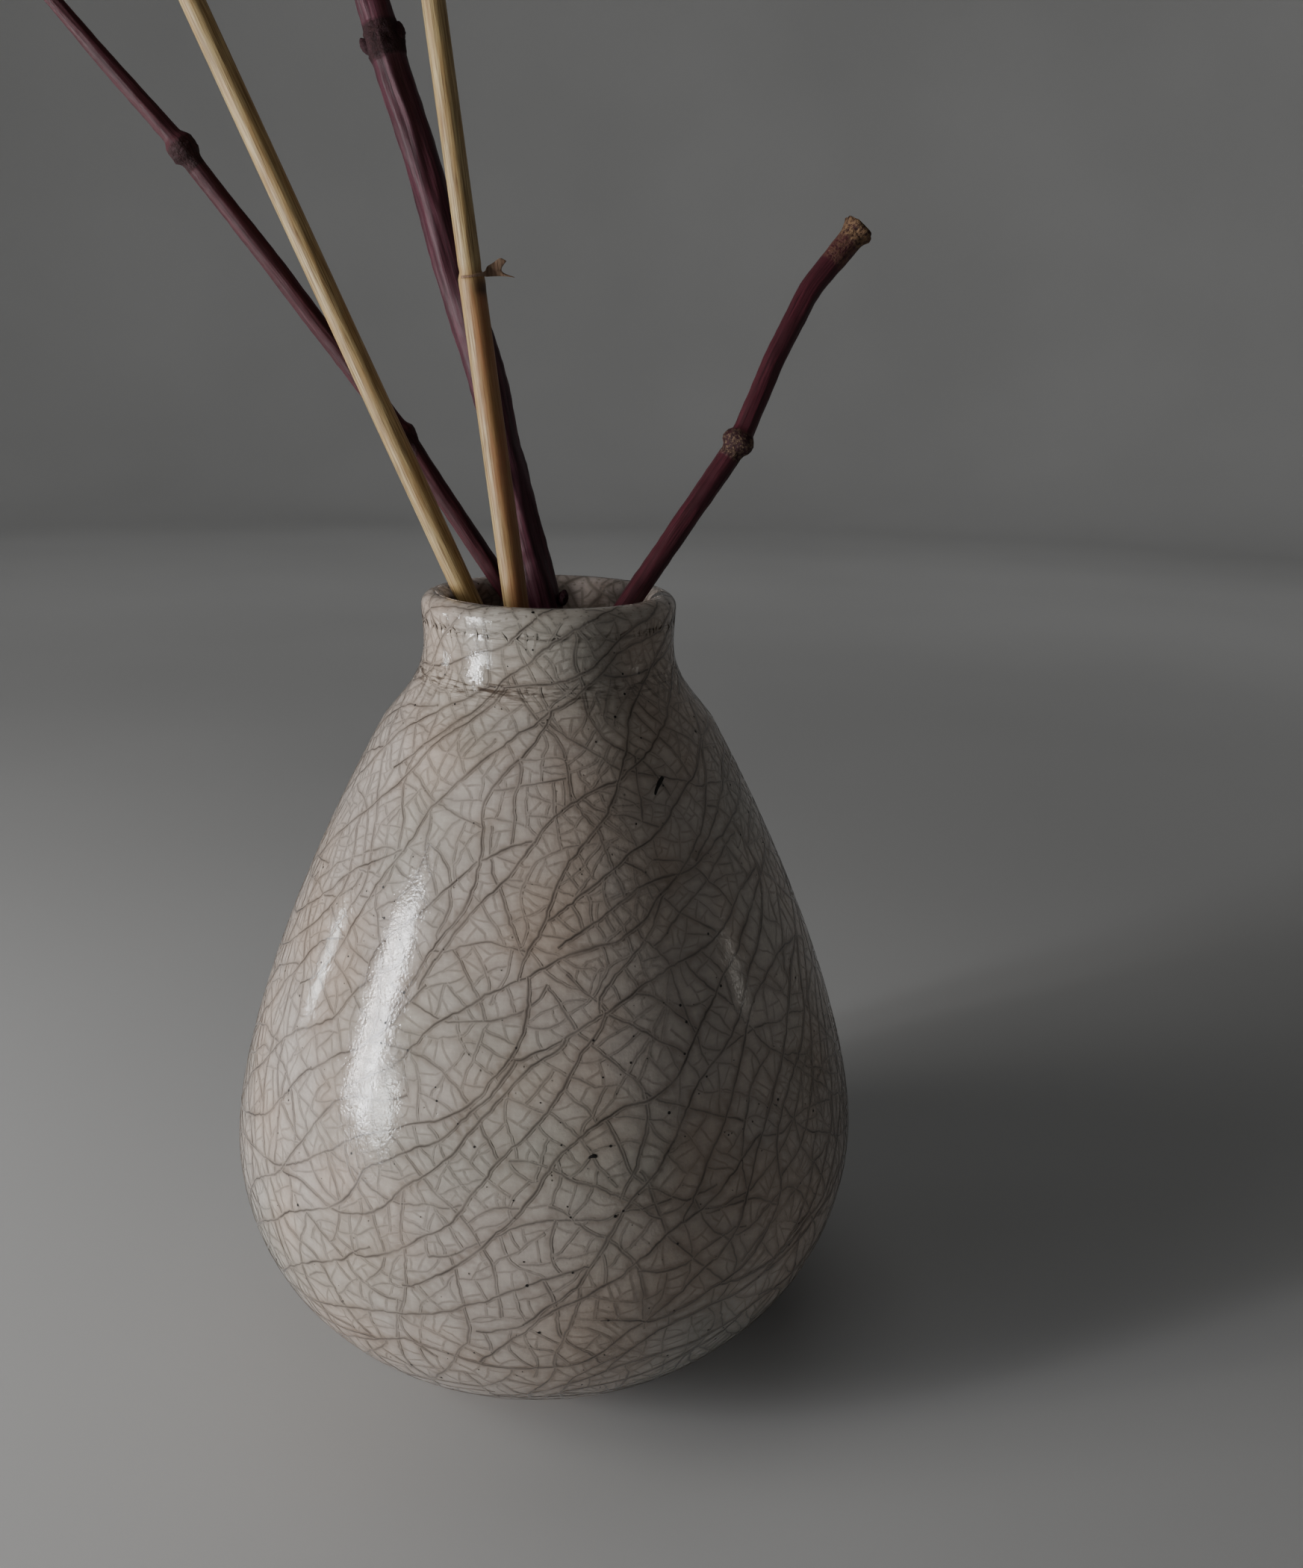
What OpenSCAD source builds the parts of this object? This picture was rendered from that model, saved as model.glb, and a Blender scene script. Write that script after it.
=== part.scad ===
// Hand-thrown bud vase with a crackled glaze, holding five dry stems.
// The vase stands on the table plane: Z is up and the origin is at the centre of the foot.

/* [Body] */
// Height from the table to the crown of the lip
vase_h = 136; // [126:1:150]
// Largest outer radius of the belly
belly_r = 55; // [54:0.5:58]
// Height of the widest point
belly_z = 41; // [39:0.5:43]
// Width of the rounded quarter below the widest point
base_round = 37; // [35:0.5:38]
// Clearance between the rounded base and the table
base_lift = 2.5; // [2:0.1:3]

/* [Neck] */
// Outer radius of the neck
neck_r = 20.9; // [20:0.1:22]
// Radius of the opening
mouth_r = 16.2; // [16:0.1:16.6]
// Depth of the straight neck below the crown
neck_h = 8.5; // [7:0.5:10]
// Radius of the shoulder where the neck flares out
shoulder_r = 27.6; // [26:0.2:29]
// Depth of the shoulder below the crown
shoulder_drop = 21; // [19:0.5:23]
// Height of the rounded lip
lip_h = 2.2; // [1.6:0.1:3]
// Depth below the crown of the fine line under the lip
lip_line_drop = 4.2; // [3.6:0.1:6]

/* [Foot] */
// Outer radius of the foot ring
foot_r = 25.5; // [23:0.5:27]
// Width of the foot ring
foot_w = 5; // [4:0.5:7]
// Height of the hollow inside the foot ring
foot_hollow = 1.6; // [1:0.1:2]

/* [Wall] */
// Wall thickness at the belly, with both glazes
wall = 5; // [4.5:0.1:5.5]
// Thickness of the floor above the lowest point of the base
floor_t = 7; // [6:0.5:8]
// Thickness of each coat of glaze
glaze_t = 0.7; // [0.5:0.1:0.8]
// Radius at which the outer glaze stops above the foot
glaze_stop_r = 30; // [29:0.5:32]

/* [Stems] */
// Radius of the pale reeds
reed_r = 2.1; // [1.6:0.1:2.1]
// Radius of the reeds at the upper end
reed_tip_r = 1.8; // [1.4:0.1:1.9]
// Radius of the left twig in the mouth
twig_left_r = 1.6; // [1.2:0.1:1.7]
// Radius of the centre twig in the mouth
twig_centre_r = 3.2; // [2.6:0.1:3.3]
// Radius of the right twig in the mouth
twig_right_r = 1.9; // [1.5:0.1:2]
// Bore of the hollow reeds at the cut end
reed_pith_r = 1; // [0.8:0.1:1.2]

/* [Hidden] */
$fn = 48;

// Profile curves, as [radius, height]
CURVE_STEPS = 12;
QUARTER_STEPS = 10;
LIP_STEPS = 6;
EDGE_STEPS = 3;
LIP_LINE_R = 0.35;
LIP_LINE_DEPTH = 0.18;
FOOT_EDGE = 0.6;
crown_r = (neck_r + mouth_r) / 2;
lip_half = (neck_r - mouth_r) / 2;
shoulder_z = vase_h - shoulder_drop;
neck_z = vase_h - neck_h;
base_drop = belly_z - base_lift;
base_r = belly_r - base_round;
inner_r = belly_r - wall;
inner_round = inner_r - base_r;
inner_drop = base_drop - floor_t;
floor_z = belly_z - inner_drop;
throat_z = vase_h - 16;

// Handles of the curves: how straight each one leaves its ends
BELLY_HANDLE = 14;
CONE_HANDLE = 30;
CONE_SLOPE = 0.565;
FLARE_HANDLE = 4.3;
FLARE_SLOPE = 0.8;
NECK_HANDLE = 5.5;
INNER_CONE_HANDLE = 37;
THROAT_HANDLE = 2;

function bezier(a, b, c, d, steps) = [
    for (i = [0:steps])
        let (t = i / steps, s = 1 - t)
        s * s * s * a + 3 * s * s * t * b + 3 * s * t * t * c + t * t * t * d
];
function rest_of(points) = [for (i = [1:len(points) - 1]) points[i]];
function reversed(points) = [for (i = [len(points) - 1:-1:0]) points[i]];
function unit(v) = v / norm(v);
function side(points, i) = unit(
    points[min(i + 1, len(points) - 1)] - points[max(i - 1, 0)]);
// The line moved to its left by depth, which grows from nothing over the first steps
function sunk(points, depth, grow) = [
    for (i = [0:len(points) - 1])
        let (d = side(points, i), t = grow > 0 ? min(1, i / grow) : 1)
        points[i] + depth * t * [-d[1], d[0]]
];
// A quarter of an ellipse about centre, from one angle to another
function arc(centre, half, from, to, steps) = [
    for (i = [0:steps])
        let (a = from + (to - from) * i / steps)
        centre + [half[0] * cos(a), half[1] * sin(a)]
];

stop_angle = -acos((glaze_stop_r - base_r) / base_round);
base_line = arc([base_r, belly_z], [base_round, base_drop], stop_angle, 0, QUARTER_STEPS);
belly_line = bezier(
    [belly_r, belly_z],
    [belly_r, belly_z + BELLY_HANDLE],
    [shoulder_r + CONE_SLOPE * CONE_HANDLE, shoulder_z - CONE_HANDLE],
    [shoulder_r, shoulder_z],
    CURVE_STEPS);
flare_line = bezier(
    [shoulder_r, shoulder_z],
    [shoulder_r - FLARE_SLOPE * FLARE_HANDLE, shoulder_z + FLARE_HANDLE],
    [neck_r, neck_z - NECK_HANDLE],
    [neck_r, neck_z],
    CURVE_STEPS);
outer_lip = arc([crown_r, vase_h - lip_h], [lip_half, lip_h], 0, 90, LIP_STEPS);
outer_line = concat(base_line, rest_of(belly_line), rest_of(flare_line), outer_lip);

inner_lip = arc([crown_r, vase_h - lip_h], [lip_half, lip_h], 90, 180, LIP_STEPS);
throat_line = bezier(
    [mouth_r, throat_z],
    [mouth_r, throat_z - THROAT_HANDLE],
    [inner_r, belly_z + INNER_CONE_HANDLE],
    [inner_r, belly_z],
    CURVE_STEPS);
inner_base = arc([base_r, belly_z], [inner_round, inner_drop], 0, -90, QUARTER_STEPS);
inner_line = concat(inner_lip, throat_line, rest_of(inner_base));

clay_outer = sunk(outer_line, glaze_t, EDGE_STEPS);
clay_inner = sunk(inner_line, glaze_t, 0);
crown_clay = clay_outer[len(clay_outer) - 1];
floor_clay = clay_inner[len(clay_inner) - 1];
foot_joint_z = belly_z - base_drop * sqrt(1 - pow((foot_r - base_r) / base_round, 2)) + glaze_t;

// Where each stem's axis crosses the plane of the lip, and how far it leans for each mm of height
REED_LEFT_AT = [-14.2, 1.8];
REED_LEFT_LEAN = [-0.444, 0.03];
REED_CENTRE_AT = [-5.6, -4];
REED_CENTRE_LEAN = [-0.128, 0];
TWIG_LEFT_AT = [-8.5, 11.2];
TWIG_LEFT_LEAN = [-0.65, -0.02];
TWIG_CENTRE_AT = [-1.9, 5.4];
TWIG_CENTRE_LEAN = [-0.253, -0.01];
TWIG_RIGHT_AT = [13.6, -3.5];
TWIG_RIGHT_LEAN = [0.7, 0.22];
LIP_PLANE = 136;

// Height of each stem's foot inside the vase, and of each reed's upper end
REED_LEFT_FOOT = 20;
REED_CENTRE_FOOT = 12.5;
TWIG_LEFT_FOOT = 55;
TWIG_CENTRE_FOOT = 16;
TWIG_RIGHT_FOOT = 60;
REED_LEFT_TOP = 248;
REED_CENTRE_TOP = 262;

// Growth nodes and ends of the stems above the mouth
REED_NODE_Z = 182.8;
TWIG_LEFT_NODES = [[-24, 10.7, 159.6], [-55.8, 9.9, 201.3], [-85, 9.2, 234]];
TWIG_CENTRE_NODES = [[-11.4, 5, 173.7], [-24.2, 4.6, 215.6], [-35, 4.2, 252]];
TWIG_RIGHT_NODES = [
    [30.5, 1.8, 160], [35.9, 4.6, 172.6], [41.8, 7.1, 184], [49.8, 9.2, 193.8]
];

// Sizes of the growth nodes, buds and cut ends
BEND_FIT = 1.1;
KNUCKLE_TAPER = 0.85;
KNUCKLE_TURN = 50;
REED_NODE_R = 2.35;
REED_NODE_H = 1.4;
REED_PITH_DEPTH = 8;
SHEATH_T = 0.35;
SHEATH_H = 5.5;
SHEATH_WRAP = 210;
SHEATH_CURL = [4.2, 2.4];
TWIG_LEFT_KNOB_R = [2.1, 2.6];
TWIG_LEFT_TIP_R = 0.9;
TWIG_CENTRE_BEND_R = 3;
TWIG_CENTRE_TOP_R = 2.5;
TWIG_CENTRE_KNOB_R = 3.1;
TWIG_CENTRE_TIP_R = 2.2;
BUD_R = 1.3;
BUD_L = 4;
BUD_SPREAD = 2.6;
TWIG_RIGHT_KNOB_R = 2.9;
TWIG_RIGHT_END_R = 2.4;

function on_axis(at, lean, z) = [
    at[0] + lean[0] * (z - LIP_PLANE), at[1] + lean[1] * (z - LIP_PLANE), z
];

// Places its children at one point with their Z axis towards another
module aimed(from, to) {
    d = to - from;
    translate(from)
        rotate([0, acos(d[2] / norm(d)), atan2(d[1], d[0])])
            children();
}

// A straight tapering length of stem between two points
module length_of_stem(from, to, from_r, to_r) {
    aimed(from, to)
        cylinder(h = norm(to - from), r1 = from_r, r2 = to_r);
}

// A barrel-shaped swelling at one point, along the stem
module knuckle(at, towards, r) {
    aimed(at, towards)
        rotate([0, 0, KNUCKLE_TURN])
            rotate_extrude()
                polygon([
                    [0, -r],
                    [KNUCKLE_TAPER * r, -r],
                    [r, -r / 3],
                    [r, r / 3],
                    [KNUCKLE_TAPER * r, r],
                    [0, r]
                ]);
}

// A pointed bud that grows from a point towards another
module bud(from, to) {
    aimed(from, to)
        cylinder(h = BUD_L, r1 = BUD_R, r2 = BUD_R / 4);
}

module vase_body() {
    color("tan")
        rotate_extrude($fn = 128)
            polygon(concat(
                [
                    floor_clay,
                    [0, foot_hollow],
                    [foot_r - foot_w, foot_hollow],
                    [foot_r - foot_w + FOOT_EDGE, 0],
                    [foot_r - FOOT_EDGE, 0],
                    [foot_r, FOOT_EDGE],
                    [foot_r, foot_joint_z]
                ],
                clay_outer,
                rest_of(clay_inner)));
}

module outer_glaze() {
    color("lightgrey")
        difference() {
            rotate_extrude($fn = 128)
                polygon(concat(outer_line, reversed(rest_of(clay_outer))));
            rotate_extrude($fn = 128)
                translate([neck_r + LIP_LINE_R - LIP_LINE_DEPTH, vase_h - lip_line_drop])
                    circle(r = LIP_LINE_R, $fn = 24);
        }
}

module inner_glaze() {
    color("gainsboro")
        rotate_extrude($fn = 128)
            polygon(concat(inner_line, reversed(clay_inner)));
}

module reed(at, lean, foot_z, top_z) {
    foot = on_axis(at, lean, foot_z);
    top = on_axis(at, lean, top_z);
    difference() {
        length_of_stem(foot, top, reed_r, reed_tip_r);
        aimed(top, foot)
            cylinder(h = REED_PITH_DEPTH, r = reed_pith_r);
    }
}

module reed_left() {
    color("burlywood")
        reed(REED_LEFT_AT, REED_LEFT_LEAN, REED_LEFT_FOOT, REED_LEFT_TOP);
}

module reed_centre() {
    joint = on_axis(REED_CENTRE_AT, REED_CENTRE_LEAN, REED_NODE_Z);
    top = on_axis(REED_CENTRE_AT, REED_CENTRE_LEAN, REED_CENTRE_TOP);
    color("burlywood")
        union() {
            reed(REED_CENTRE_AT, REED_CENTRE_LEAN, REED_CENTRE_FOOT, REED_CENTRE_TOP);
            aimed(joint, top)
                difference() {
                    cylinder(h = REED_NODE_H, r = REED_NODE_R, center = true);
                    cylinder(h = 2 * REED_NODE_H, r = reed_pith_r, center = true);
                }
        }
}

// The scrap of dry leaf that wraps the centre reed above its growth node
module reed_sheath() {
    joint = on_axis(REED_CENTRE_AT, REED_CENTRE_LEAN, REED_NODE_Z);
    top = on_axis(REED_CENTRE_AT, REED_CENTRE_LEAN, REED_CENTRE_TOP);
    color("peru")
        aimed(joint, top)
            translate([0, 0, REED_NODE_H / 2])
                union() {
                    rotate([0, 0, SHEATH_WRAP / 2])
                        rotate_extrude(angle = SHEATH_WRAP)
                            translate([reed_r - SHEATH_T / 2, 0])
                                square([SHEATH_T, SHEATH_H]);
                    translate([-reed_r - SHEATH_CURL[0], -SHEATH_T / 2, 0])
                        cube([SHEATH_CURL[0] + SHEATH_T, SHEATH_T, SHEATH_CURL[1]]);
                }
}

module twig_left() {
    foot = on_axis(TWIG_LEFT_AT, TWIG_LEFT_LEAN, TWIG_LEFT_FOOT);
    color("maroon")
        union() {
            length_of_stem(foot, TWIG_LEFT_NODES[0], twig_left_r, twig_left_r - 0.1);
            knuckle(TWIG_LEFT_NODES[0], TWIG_LEFT_NODES[1], TWIG_LEFT_KNOB_R[0]);
            length_of_stem(TWIG_LEFT_NODES[0], TWIG_LEFT_NODES[1], twig_left_r - 0.15, twig_left_r - 0.4);
            knuckle(TWIG_LEFT_NODES[1], TWIG_LEFT_NODES[2], TWIG_LEFT_KNOB_R[1]);
            length_of_stem(TWIG_LEFT_NODES[1], TWIG_LEFT_NODES[2], twig_left_r - 0.4, TWIG_LEFT_TIP_R);
        }
}

module twig_centre() {
    foot = on_axis(TWIG_CENTRE_AT, TWIG_CENTRE_LEAN, TWIG_CENTRE_FOOT);
    knob = TWIG_CENTRE_NODES[1];
    color("maroon")
        union() {
            length_of_stem(foot, TWIG_CENTRE_NODES[0], twig_centre_r, TWIG_CENTRE_BEND_R);
            knuckle(TWIG_CENTRE_NODES[0], knob, TWIG_CENTRE_BEND_R * BEND_FIT);
            length_of_stem(TWIG_CENTRE_NODES[0], knob, TWIG_CENTRE_BEND_R, TWIG_CENTRE_TOP_R);
            knuckle(knob, TWIG_CENTRE_NODES[2], TWIG_CENTRE_KNOB_R);
            for (turn = [-1, 1])
                bud(knob + [turn * BUD_SPREAD / 2, 0, 0], knob + [turn * BUD_SPREAD, 0, BUD_L]);
            length_of_stem(knob, TWIG_CENTRE_NODES[2], TWIG_CENTRE_TOP_R, TWIG_CENTRE_TIP_R);
        }
}

module twig_right() {
    foot = on_axis(TWIG_RIGHT_AT, TWIG_RIGHT_LEAN, TWIG_RIGHT_FOOT);
    color("maroon")
        union() {
            length_of_stem(foot, TWIG_RIGHT_NODES[0], twig_right_r, twig_right_r);
            knuckle(TWIG_RIGHT_NODES[0], TWIG_RIGHT_NODES[1], TWIG_RIGHT_KNOB_R);
            for (i = [0:1]) {
                length_of_stem(TWIG_RIGHT_NODES[i], TWIG_RIGHT_NODES[i + 1], twig_right_r, twig_right_r);
                knuckle(TWIG_RIGHT_NODES[i + 1], TWIG_RIGHT_NODES[i + 2], twig_right_r * BEND_FIT);
            }
            length_of_stem(TWIG_RIGHT_NODES[2], TWIG_RIGHT_NODES[3], twig_right_r, TWIG_RIGHT_END_R);
        }
}

vase_body();
outer_glaze();
inner_glaze();
reed_left();
reed_centre();
reed_sheath();
twig_left();
twig_centre();
twig_right();
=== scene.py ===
"""Looks for the crackle-glazed bud vase and its dry stems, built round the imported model."""
import math
import random

import bpy
import numpy as np
from mathutils import Matrix, Vector, noise
from mathutils.kdtree import KDTree


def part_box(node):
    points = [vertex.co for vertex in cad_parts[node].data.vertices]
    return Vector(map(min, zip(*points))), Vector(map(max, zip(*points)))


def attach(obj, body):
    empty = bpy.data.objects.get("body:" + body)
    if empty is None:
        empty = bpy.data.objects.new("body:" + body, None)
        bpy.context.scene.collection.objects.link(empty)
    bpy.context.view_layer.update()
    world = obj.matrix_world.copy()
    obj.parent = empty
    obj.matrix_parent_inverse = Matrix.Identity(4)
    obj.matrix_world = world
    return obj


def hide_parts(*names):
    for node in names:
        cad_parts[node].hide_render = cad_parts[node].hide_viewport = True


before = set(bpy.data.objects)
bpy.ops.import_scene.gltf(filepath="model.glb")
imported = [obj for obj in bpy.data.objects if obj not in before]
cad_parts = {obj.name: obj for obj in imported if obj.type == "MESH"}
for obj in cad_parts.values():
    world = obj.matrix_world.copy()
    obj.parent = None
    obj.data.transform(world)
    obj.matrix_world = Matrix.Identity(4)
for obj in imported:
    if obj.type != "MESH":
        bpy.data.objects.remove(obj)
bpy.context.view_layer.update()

MM = 0.001
TURN = 2 * math.pi

# ---- vase: driving dimensions
VASE_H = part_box("outer_glaze")[1][2]
BELLY_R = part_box("outer_glaze")[1][0]
BELLY_Z = 41 * MM
BASE_ROUND = 37 * MM
BASE_LIFT = 2.5 * MM
NECK_R = 20.9 * MM
MOUTH_R = 16.2 * MM
NECK_H = 8.5 * MM
SHOULDER_R = 27.6 * MM
SHOULDER_DROP = 21 * MM
LIP_H = 2.2 * MM
LIP_LINE_DROP = 4.2 * MM
LIP_LINE_DEPTH = 0.16 * MM
LIP_LINE_HALF = 0.45 * MM
WAIST_Z = VASE_H - 7.4 * MM
WAIST_DEPTH = 0.3 * MM
WAIST_HALF = 3.6 * MM
THROAT_DROP = 16 * MM
CRACKLED_THROAT = 26 * MM
WALL = 5 * MM
FLOOR_T = 7 * MM
GLAZE_T = 0.7 * MM
GLAZE_STOP_R = 30 * MM
SKIN_GAP = 0.05 * MM
BELLY_HANDLE = 14 * MM
CONE_HANDLE = 30 * MM
CONE_RUN = 0.565 * 30 * MM
FLARE_HANDLE = 4.3 * MM
FLARE_RUN = 0.8 * 4.3 * MM
NECK_HANDLE = 5.5 * MM
THROAT_HANDLE = 2 * MM
INNER_HANDLE = 37 * MM

BASE_R = BELLY_R - BASE_ROUND
BASE_DROP = BELLY_Z - BASE_LIFT
CROWN_R = (NECK_R + MOUTH_R) / 2
LIP_HALF = (NECK_R - MOUTH_R) / 2
INNER_R = BELLY_R - WALL
INNER_ROUND = INNER_R - BASE_R
INNER_DROP = BASE_DROP - FLOOR_T


# ---- vase: profile curves
def bezier(a, b, c, d, steps):
    """Points (radius, height) along a curve with two handles."""
    points = []
    for i in range(steps + 1):
        t = i / steps
        s = 1 - t
        weights = (s ** 3, 3 * s * s * t, 3 * s * t * t, t ** 3)
        points.append(tuple(sum(w * p[k] for w, p in zip(weights, (a, b, c, d))) for k in (0, 1)))
    return points


def arc(centre, half, start, end, steps):
    """Points along part of an ellipse, from one angle in degrees to another."""
    points = []
    for i in range(steps + 1):
        angle = math.radians(start + (end - start) * i / steps)
        points.append((centre[0] + half[0] * math.cos(angle), centre[1] + half[1] * math.sin(angle)))
    return points


def outer_profile():
    """From the lower edge of the outer glaze up to the crown of the lip."""
    shoulder_z = VASE_H - SHOULDER_DROP
    neck_z = VASE_H - NECK_H
    stop = -math.degrees(math.acos((GLAZE_STOP_R - BASE_R) / BASE_ROUND))
    base = arc((BASE_R, BELLY_Z), (BASE_ROUND, BASE_DROP), stop, 0, 40)
    belly = bezier(
        (BELLY_R, BELLY_Z),
        (BELLY_R, BELLY_Z + BELLY_HANDLE),
        (SHOULDER_R + CONE_RUN, shoulder_z - CONE_HANDLE),
        (SHOULDER_R, shoulder_z), 60)
    flare = bezier(
        (SHOULDER_R, shoulder_z),
        (SHOULDER_R - FLARE_RUN, shoulder_z + FLARE_HANDLE),
        (NECK_R, neck_z - NECK_HANDLE),
        (NECK_R, neck_z), 30)
    neck = [(NECK_R, neck_z + (VASE_H - LIP_H - neck_z) * i / 8) for i in range(1, 8)]
    lip = arc((CROWN_R, VASE_H - LIP_H), (LIP_HALF, LIP_H), 0, 90, 14)
    wall = base + belly[1:] + flare[1:] + neck + lip
    return [(r - WAIST_DEPTH * math.exp(-((z - WAIST_Z) / WAIST_HALF) ** 2), z) for r, z in wall]


def inner_profile():
    """From the crown of the lip down the throat to the middle of the floor."""
    throat_z = VASE_H - THROAT_DROP
    lip = arc((CROWN_R, VASE_H - LIP_H), (LIP_HALF, LIP_H), 90, 180, 14)
    throat = bezier(
        (MOUTH_R, throat_z),
        (MOUTH_R, throat_z - THROAT_HANDLE),
        (INNER_R, BELLY_Z + INNER_HANDLE),
        (INNER_R, BELLY_Z), 40)
    base = arc((BASE_R, BELLY_Z), (INNER_ROUND, INNER_DROP), 0, -90, 24)
    return lip + throat + base[1:] + [(0.0, BELLY_Z - INNER_DROP)]


# How far below the crown each band of rows reaches, and how far apart its rows lie
OUTER_ROWS = ((2.5 * MM, 0.25 * MM), (24 * MM, 0.36 * MM), (VASE_H, 0.85 * MM))
LINER_ROWS = ((30 * MM, 0.5 * MM), (VASE_H, 2.5 * MM))
OUTER_STEPS = 300
LINER_STEPS = 160


def row_gap(bands, z):
    """The distance between rows at a height: less near the lip, where they show."""
    return next((gap for reach, gap in bands if z > VASE_H - reach), bands[-1][1])


class Skin:
    """A profile read by its length along the surface, with the normal at each place."""

    STEP = 0.1 * MM

    def __init__(self, profile, gap):
        points = np.array(profile)
        steps = np.hypot(*np.diff(points, axis=0).T)
        keep = np.concatenate(([True], steps > 1e-7))
        points = points[keep]
        along = np.concatenate(([0], np.cumsum(np.hypot(*np.diff(points, axis=0).T))))
        self.length = along[-1]
        count = int(self.length / self.STEP)
        s = np.linspace(0, self.length, count)
        r = np.interp(s, along, points[:, 0])
        z = np.interp(s, along, points[:, 1])
        dr, dz = np.gradient(r, s), np.gradient(z, s)
        size = np.hypot(dr, dz)
        self.s = s
        self.nr, self.nz = dz / size, -dr / size
        self.r, self.z = r - self.nr * gap, z - self.nz * gap
        self.table = list(zip(self.r.tolist(), self.z.tolist(), self.nr.tolist(), self.nz.tolist()))
        self.last = count - 1
        self.per_metre = self.last / self.length

    def place(self, s):
        """(radius, height, outward radius part, outward height part) at length s."""
        return self.table[min(self.last, max(0, round(s * self.per_metre)))]

    def points(self, theta, s, lift):
        """Positions in space for arrays of angle, length and height over the surface."""
        r = np.interp(s, self.s, self.r) + np.interp(s, self.s, self.nr) * lift
        z = np.interp(s, self.s, self.z) + np.interp(s, self.s, self.nz) * lift
        return np.column_stack((r * np.cos(theta), r * np.sin(theta), z))

    def spaced(self, bands):
        """Profile points that lie as far apart as the bands say."""
        s, rows = 0.0, []
        while s < self.length:
            r, z, _, _ = self.place(s)
            rows.append((r, z))
            s += row_gap(bands, z)
        r, z, _, _ = self.place(self.length)
        rows[-1] = (r, z)
        return rows


OUTER_LENGTH = Skin(outer_profile(), SKIN_GAP).length


# ---- modelling helpers
def select_none():
    """Deselects every object, so that the next operator acts on what it adds."""
    bpy.ops.object.select_all(action="DESELECT")


def only(piece):
    """Selects one object and makes it the active one."""
    select_none()
    piece.select_set(True)
    bpy.context.view_layer.objects.active = piece


def named(name):
    """Names the active object and its mesh."""
    piece = bpy.context.object
    piece.name = name
    piece.data.name = name
    return piece


def edit(action="SELECT"):
    """Goes into edit mode with everything selected, or nothing."""
    bpy.ops.object.mode_set(mode="EDIT")
    bpy.ops.mesh.select_all(action=action)


def leave_edit():
    """Goes back to object mode."""
    bpy.ops.object.mode_set(mode="OBJECT")


def from_faces(name, places, faces):
    """A piece made from its vertices and faces."""
    mesh = bpy.data.meshes.new(name)
    mesh.from_pydata(places, [], faces)
    piece = bpy.data.objects.new(name, mesh)
    bpy.context.collection.objects.link(piece)
    return piece


def ball(name, segments, rings):
    """A round start for a small piece, one metre in radius until it is shaped."""
    select_none()
    bpy.ops.mesh.primitive_uv_sphere_add(
        segments=segments, ring_count=rings, radius=1, location=(0, 0, 0))
    return named(name)


def finish_mesh(piece, smooth=True):
    """The place kept in the mesh, and smooth shading where the piece is rounded."""
    only(piece)
    bpy.ops.object.transform_apply(location=True, rotation=True, scale=True)
    if smooth:
        bpy.ops.object.shade_smooth()
    return piece


def thrown(name, outline, steps):
    """Spins an outline about the vase's axis, as on a wheel."""
    select_none()
    start = outline[0]
    bpy.ops.mesh.primitive_plane_add(size=MM, location=(start[0], 0, start[1]))
    piece = named(name)
    bpy.ops.object.transform_apply(location=True)
    edit()
    bpy.ops.mesh.merge(type="CENTER")
    for here, there in zip(outline, outline[1:]):
        move = (there[0] - here[0], 0, there[1] - here[1])
        bpy.ops.mesh.extrude_region_move(TRANSFORM_OT_translate={"value": move})
    bpy.ops.mesh.select_all(action="SELECT")
    bpy.ops.mesh.spin(steps=steps, angle=TURN, center=(0, 0, 0), axis=(0, 0, 1))
    bpy.ops.mesh.select_all(action="SELECT")
    bpy.ops.mesh.remove_doubles(threshold=0.01 * MM)
    bpy.ops.mesh.normals_make_consistent(inside=False)
    leave_edit()
    return finish_mesh(piece)


def vertices(piece):
    """The vertex positions of a piece as an array."""
    flat = np.empty(len(piece.data.vertices) * 3)
    piece.data.vertices.foreach_get("co", flat)
    return flat.reshape(-1, 3)


def move_vertices(piece, places):
    """Puts the vertices of a piece at new positions."""
    piece.data.vertices.foreach_set("co", np.ascontiguousarray(places).ravel())
    piece.data.update()


def attribute(piece, name, values):
    """Stores one number a vertex, or three, for the materials to read."""
    kind = "FLOAT" if values.ndim == 1 else "FLOAT_VECTOR"
    layer = piece.data.attributes.new(name, kind, "POINT")
    layer.data.foreach_set("value" if kind == "FLOAT" else "vector", values.astype(np.float32).ravel())


# ---- the crackle network
GROW_STEP = 0.4 * MM
LOOK = 1.1 * MM
TOUCH = 0.3 * MM
STEER = 0.03
KINK = 0.2
MEMORY = 0.86
CLEARANCE = 1.2 * MM
SWERVE = 0.3
SWERVE_ANGLE = 1.3
PASSES = ((0, 0, 0, 1), (0, 1, 2, 3), (0, 0, 1), (0,))
# For each level of crack: the widest gap it leaves, its tries, reach, wobble and slant
LEVELS = (
    (5.2 * MM, 1200, 70 * MM, 0.012, 0.1),
    (2.8 * MM, 6000, 26 * MM, 0.02, 0.25),
    (1.5 * MM, 24000, 12 * MM, 0.025, 0.15),
    (0.95 * MM, 50000, 6 * MM, 0.03, 0.15),
)
LEVEL_NAMES = ("main", "cross", "fine", "hair")
LEVELS_MADE = 4
MARK_LIFT = 0.035 * MM


def wrapped(angle):
    """The same angle, brought within half a turn of zero."""
    return (angle + math.pi) % TURN - math.pi


def cell(p):
    """The box of the search grid that holds a place."""
    return (int(p[0] // LOOK), int(p[1] // LOOK), int(p[2] // LOOK))


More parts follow.
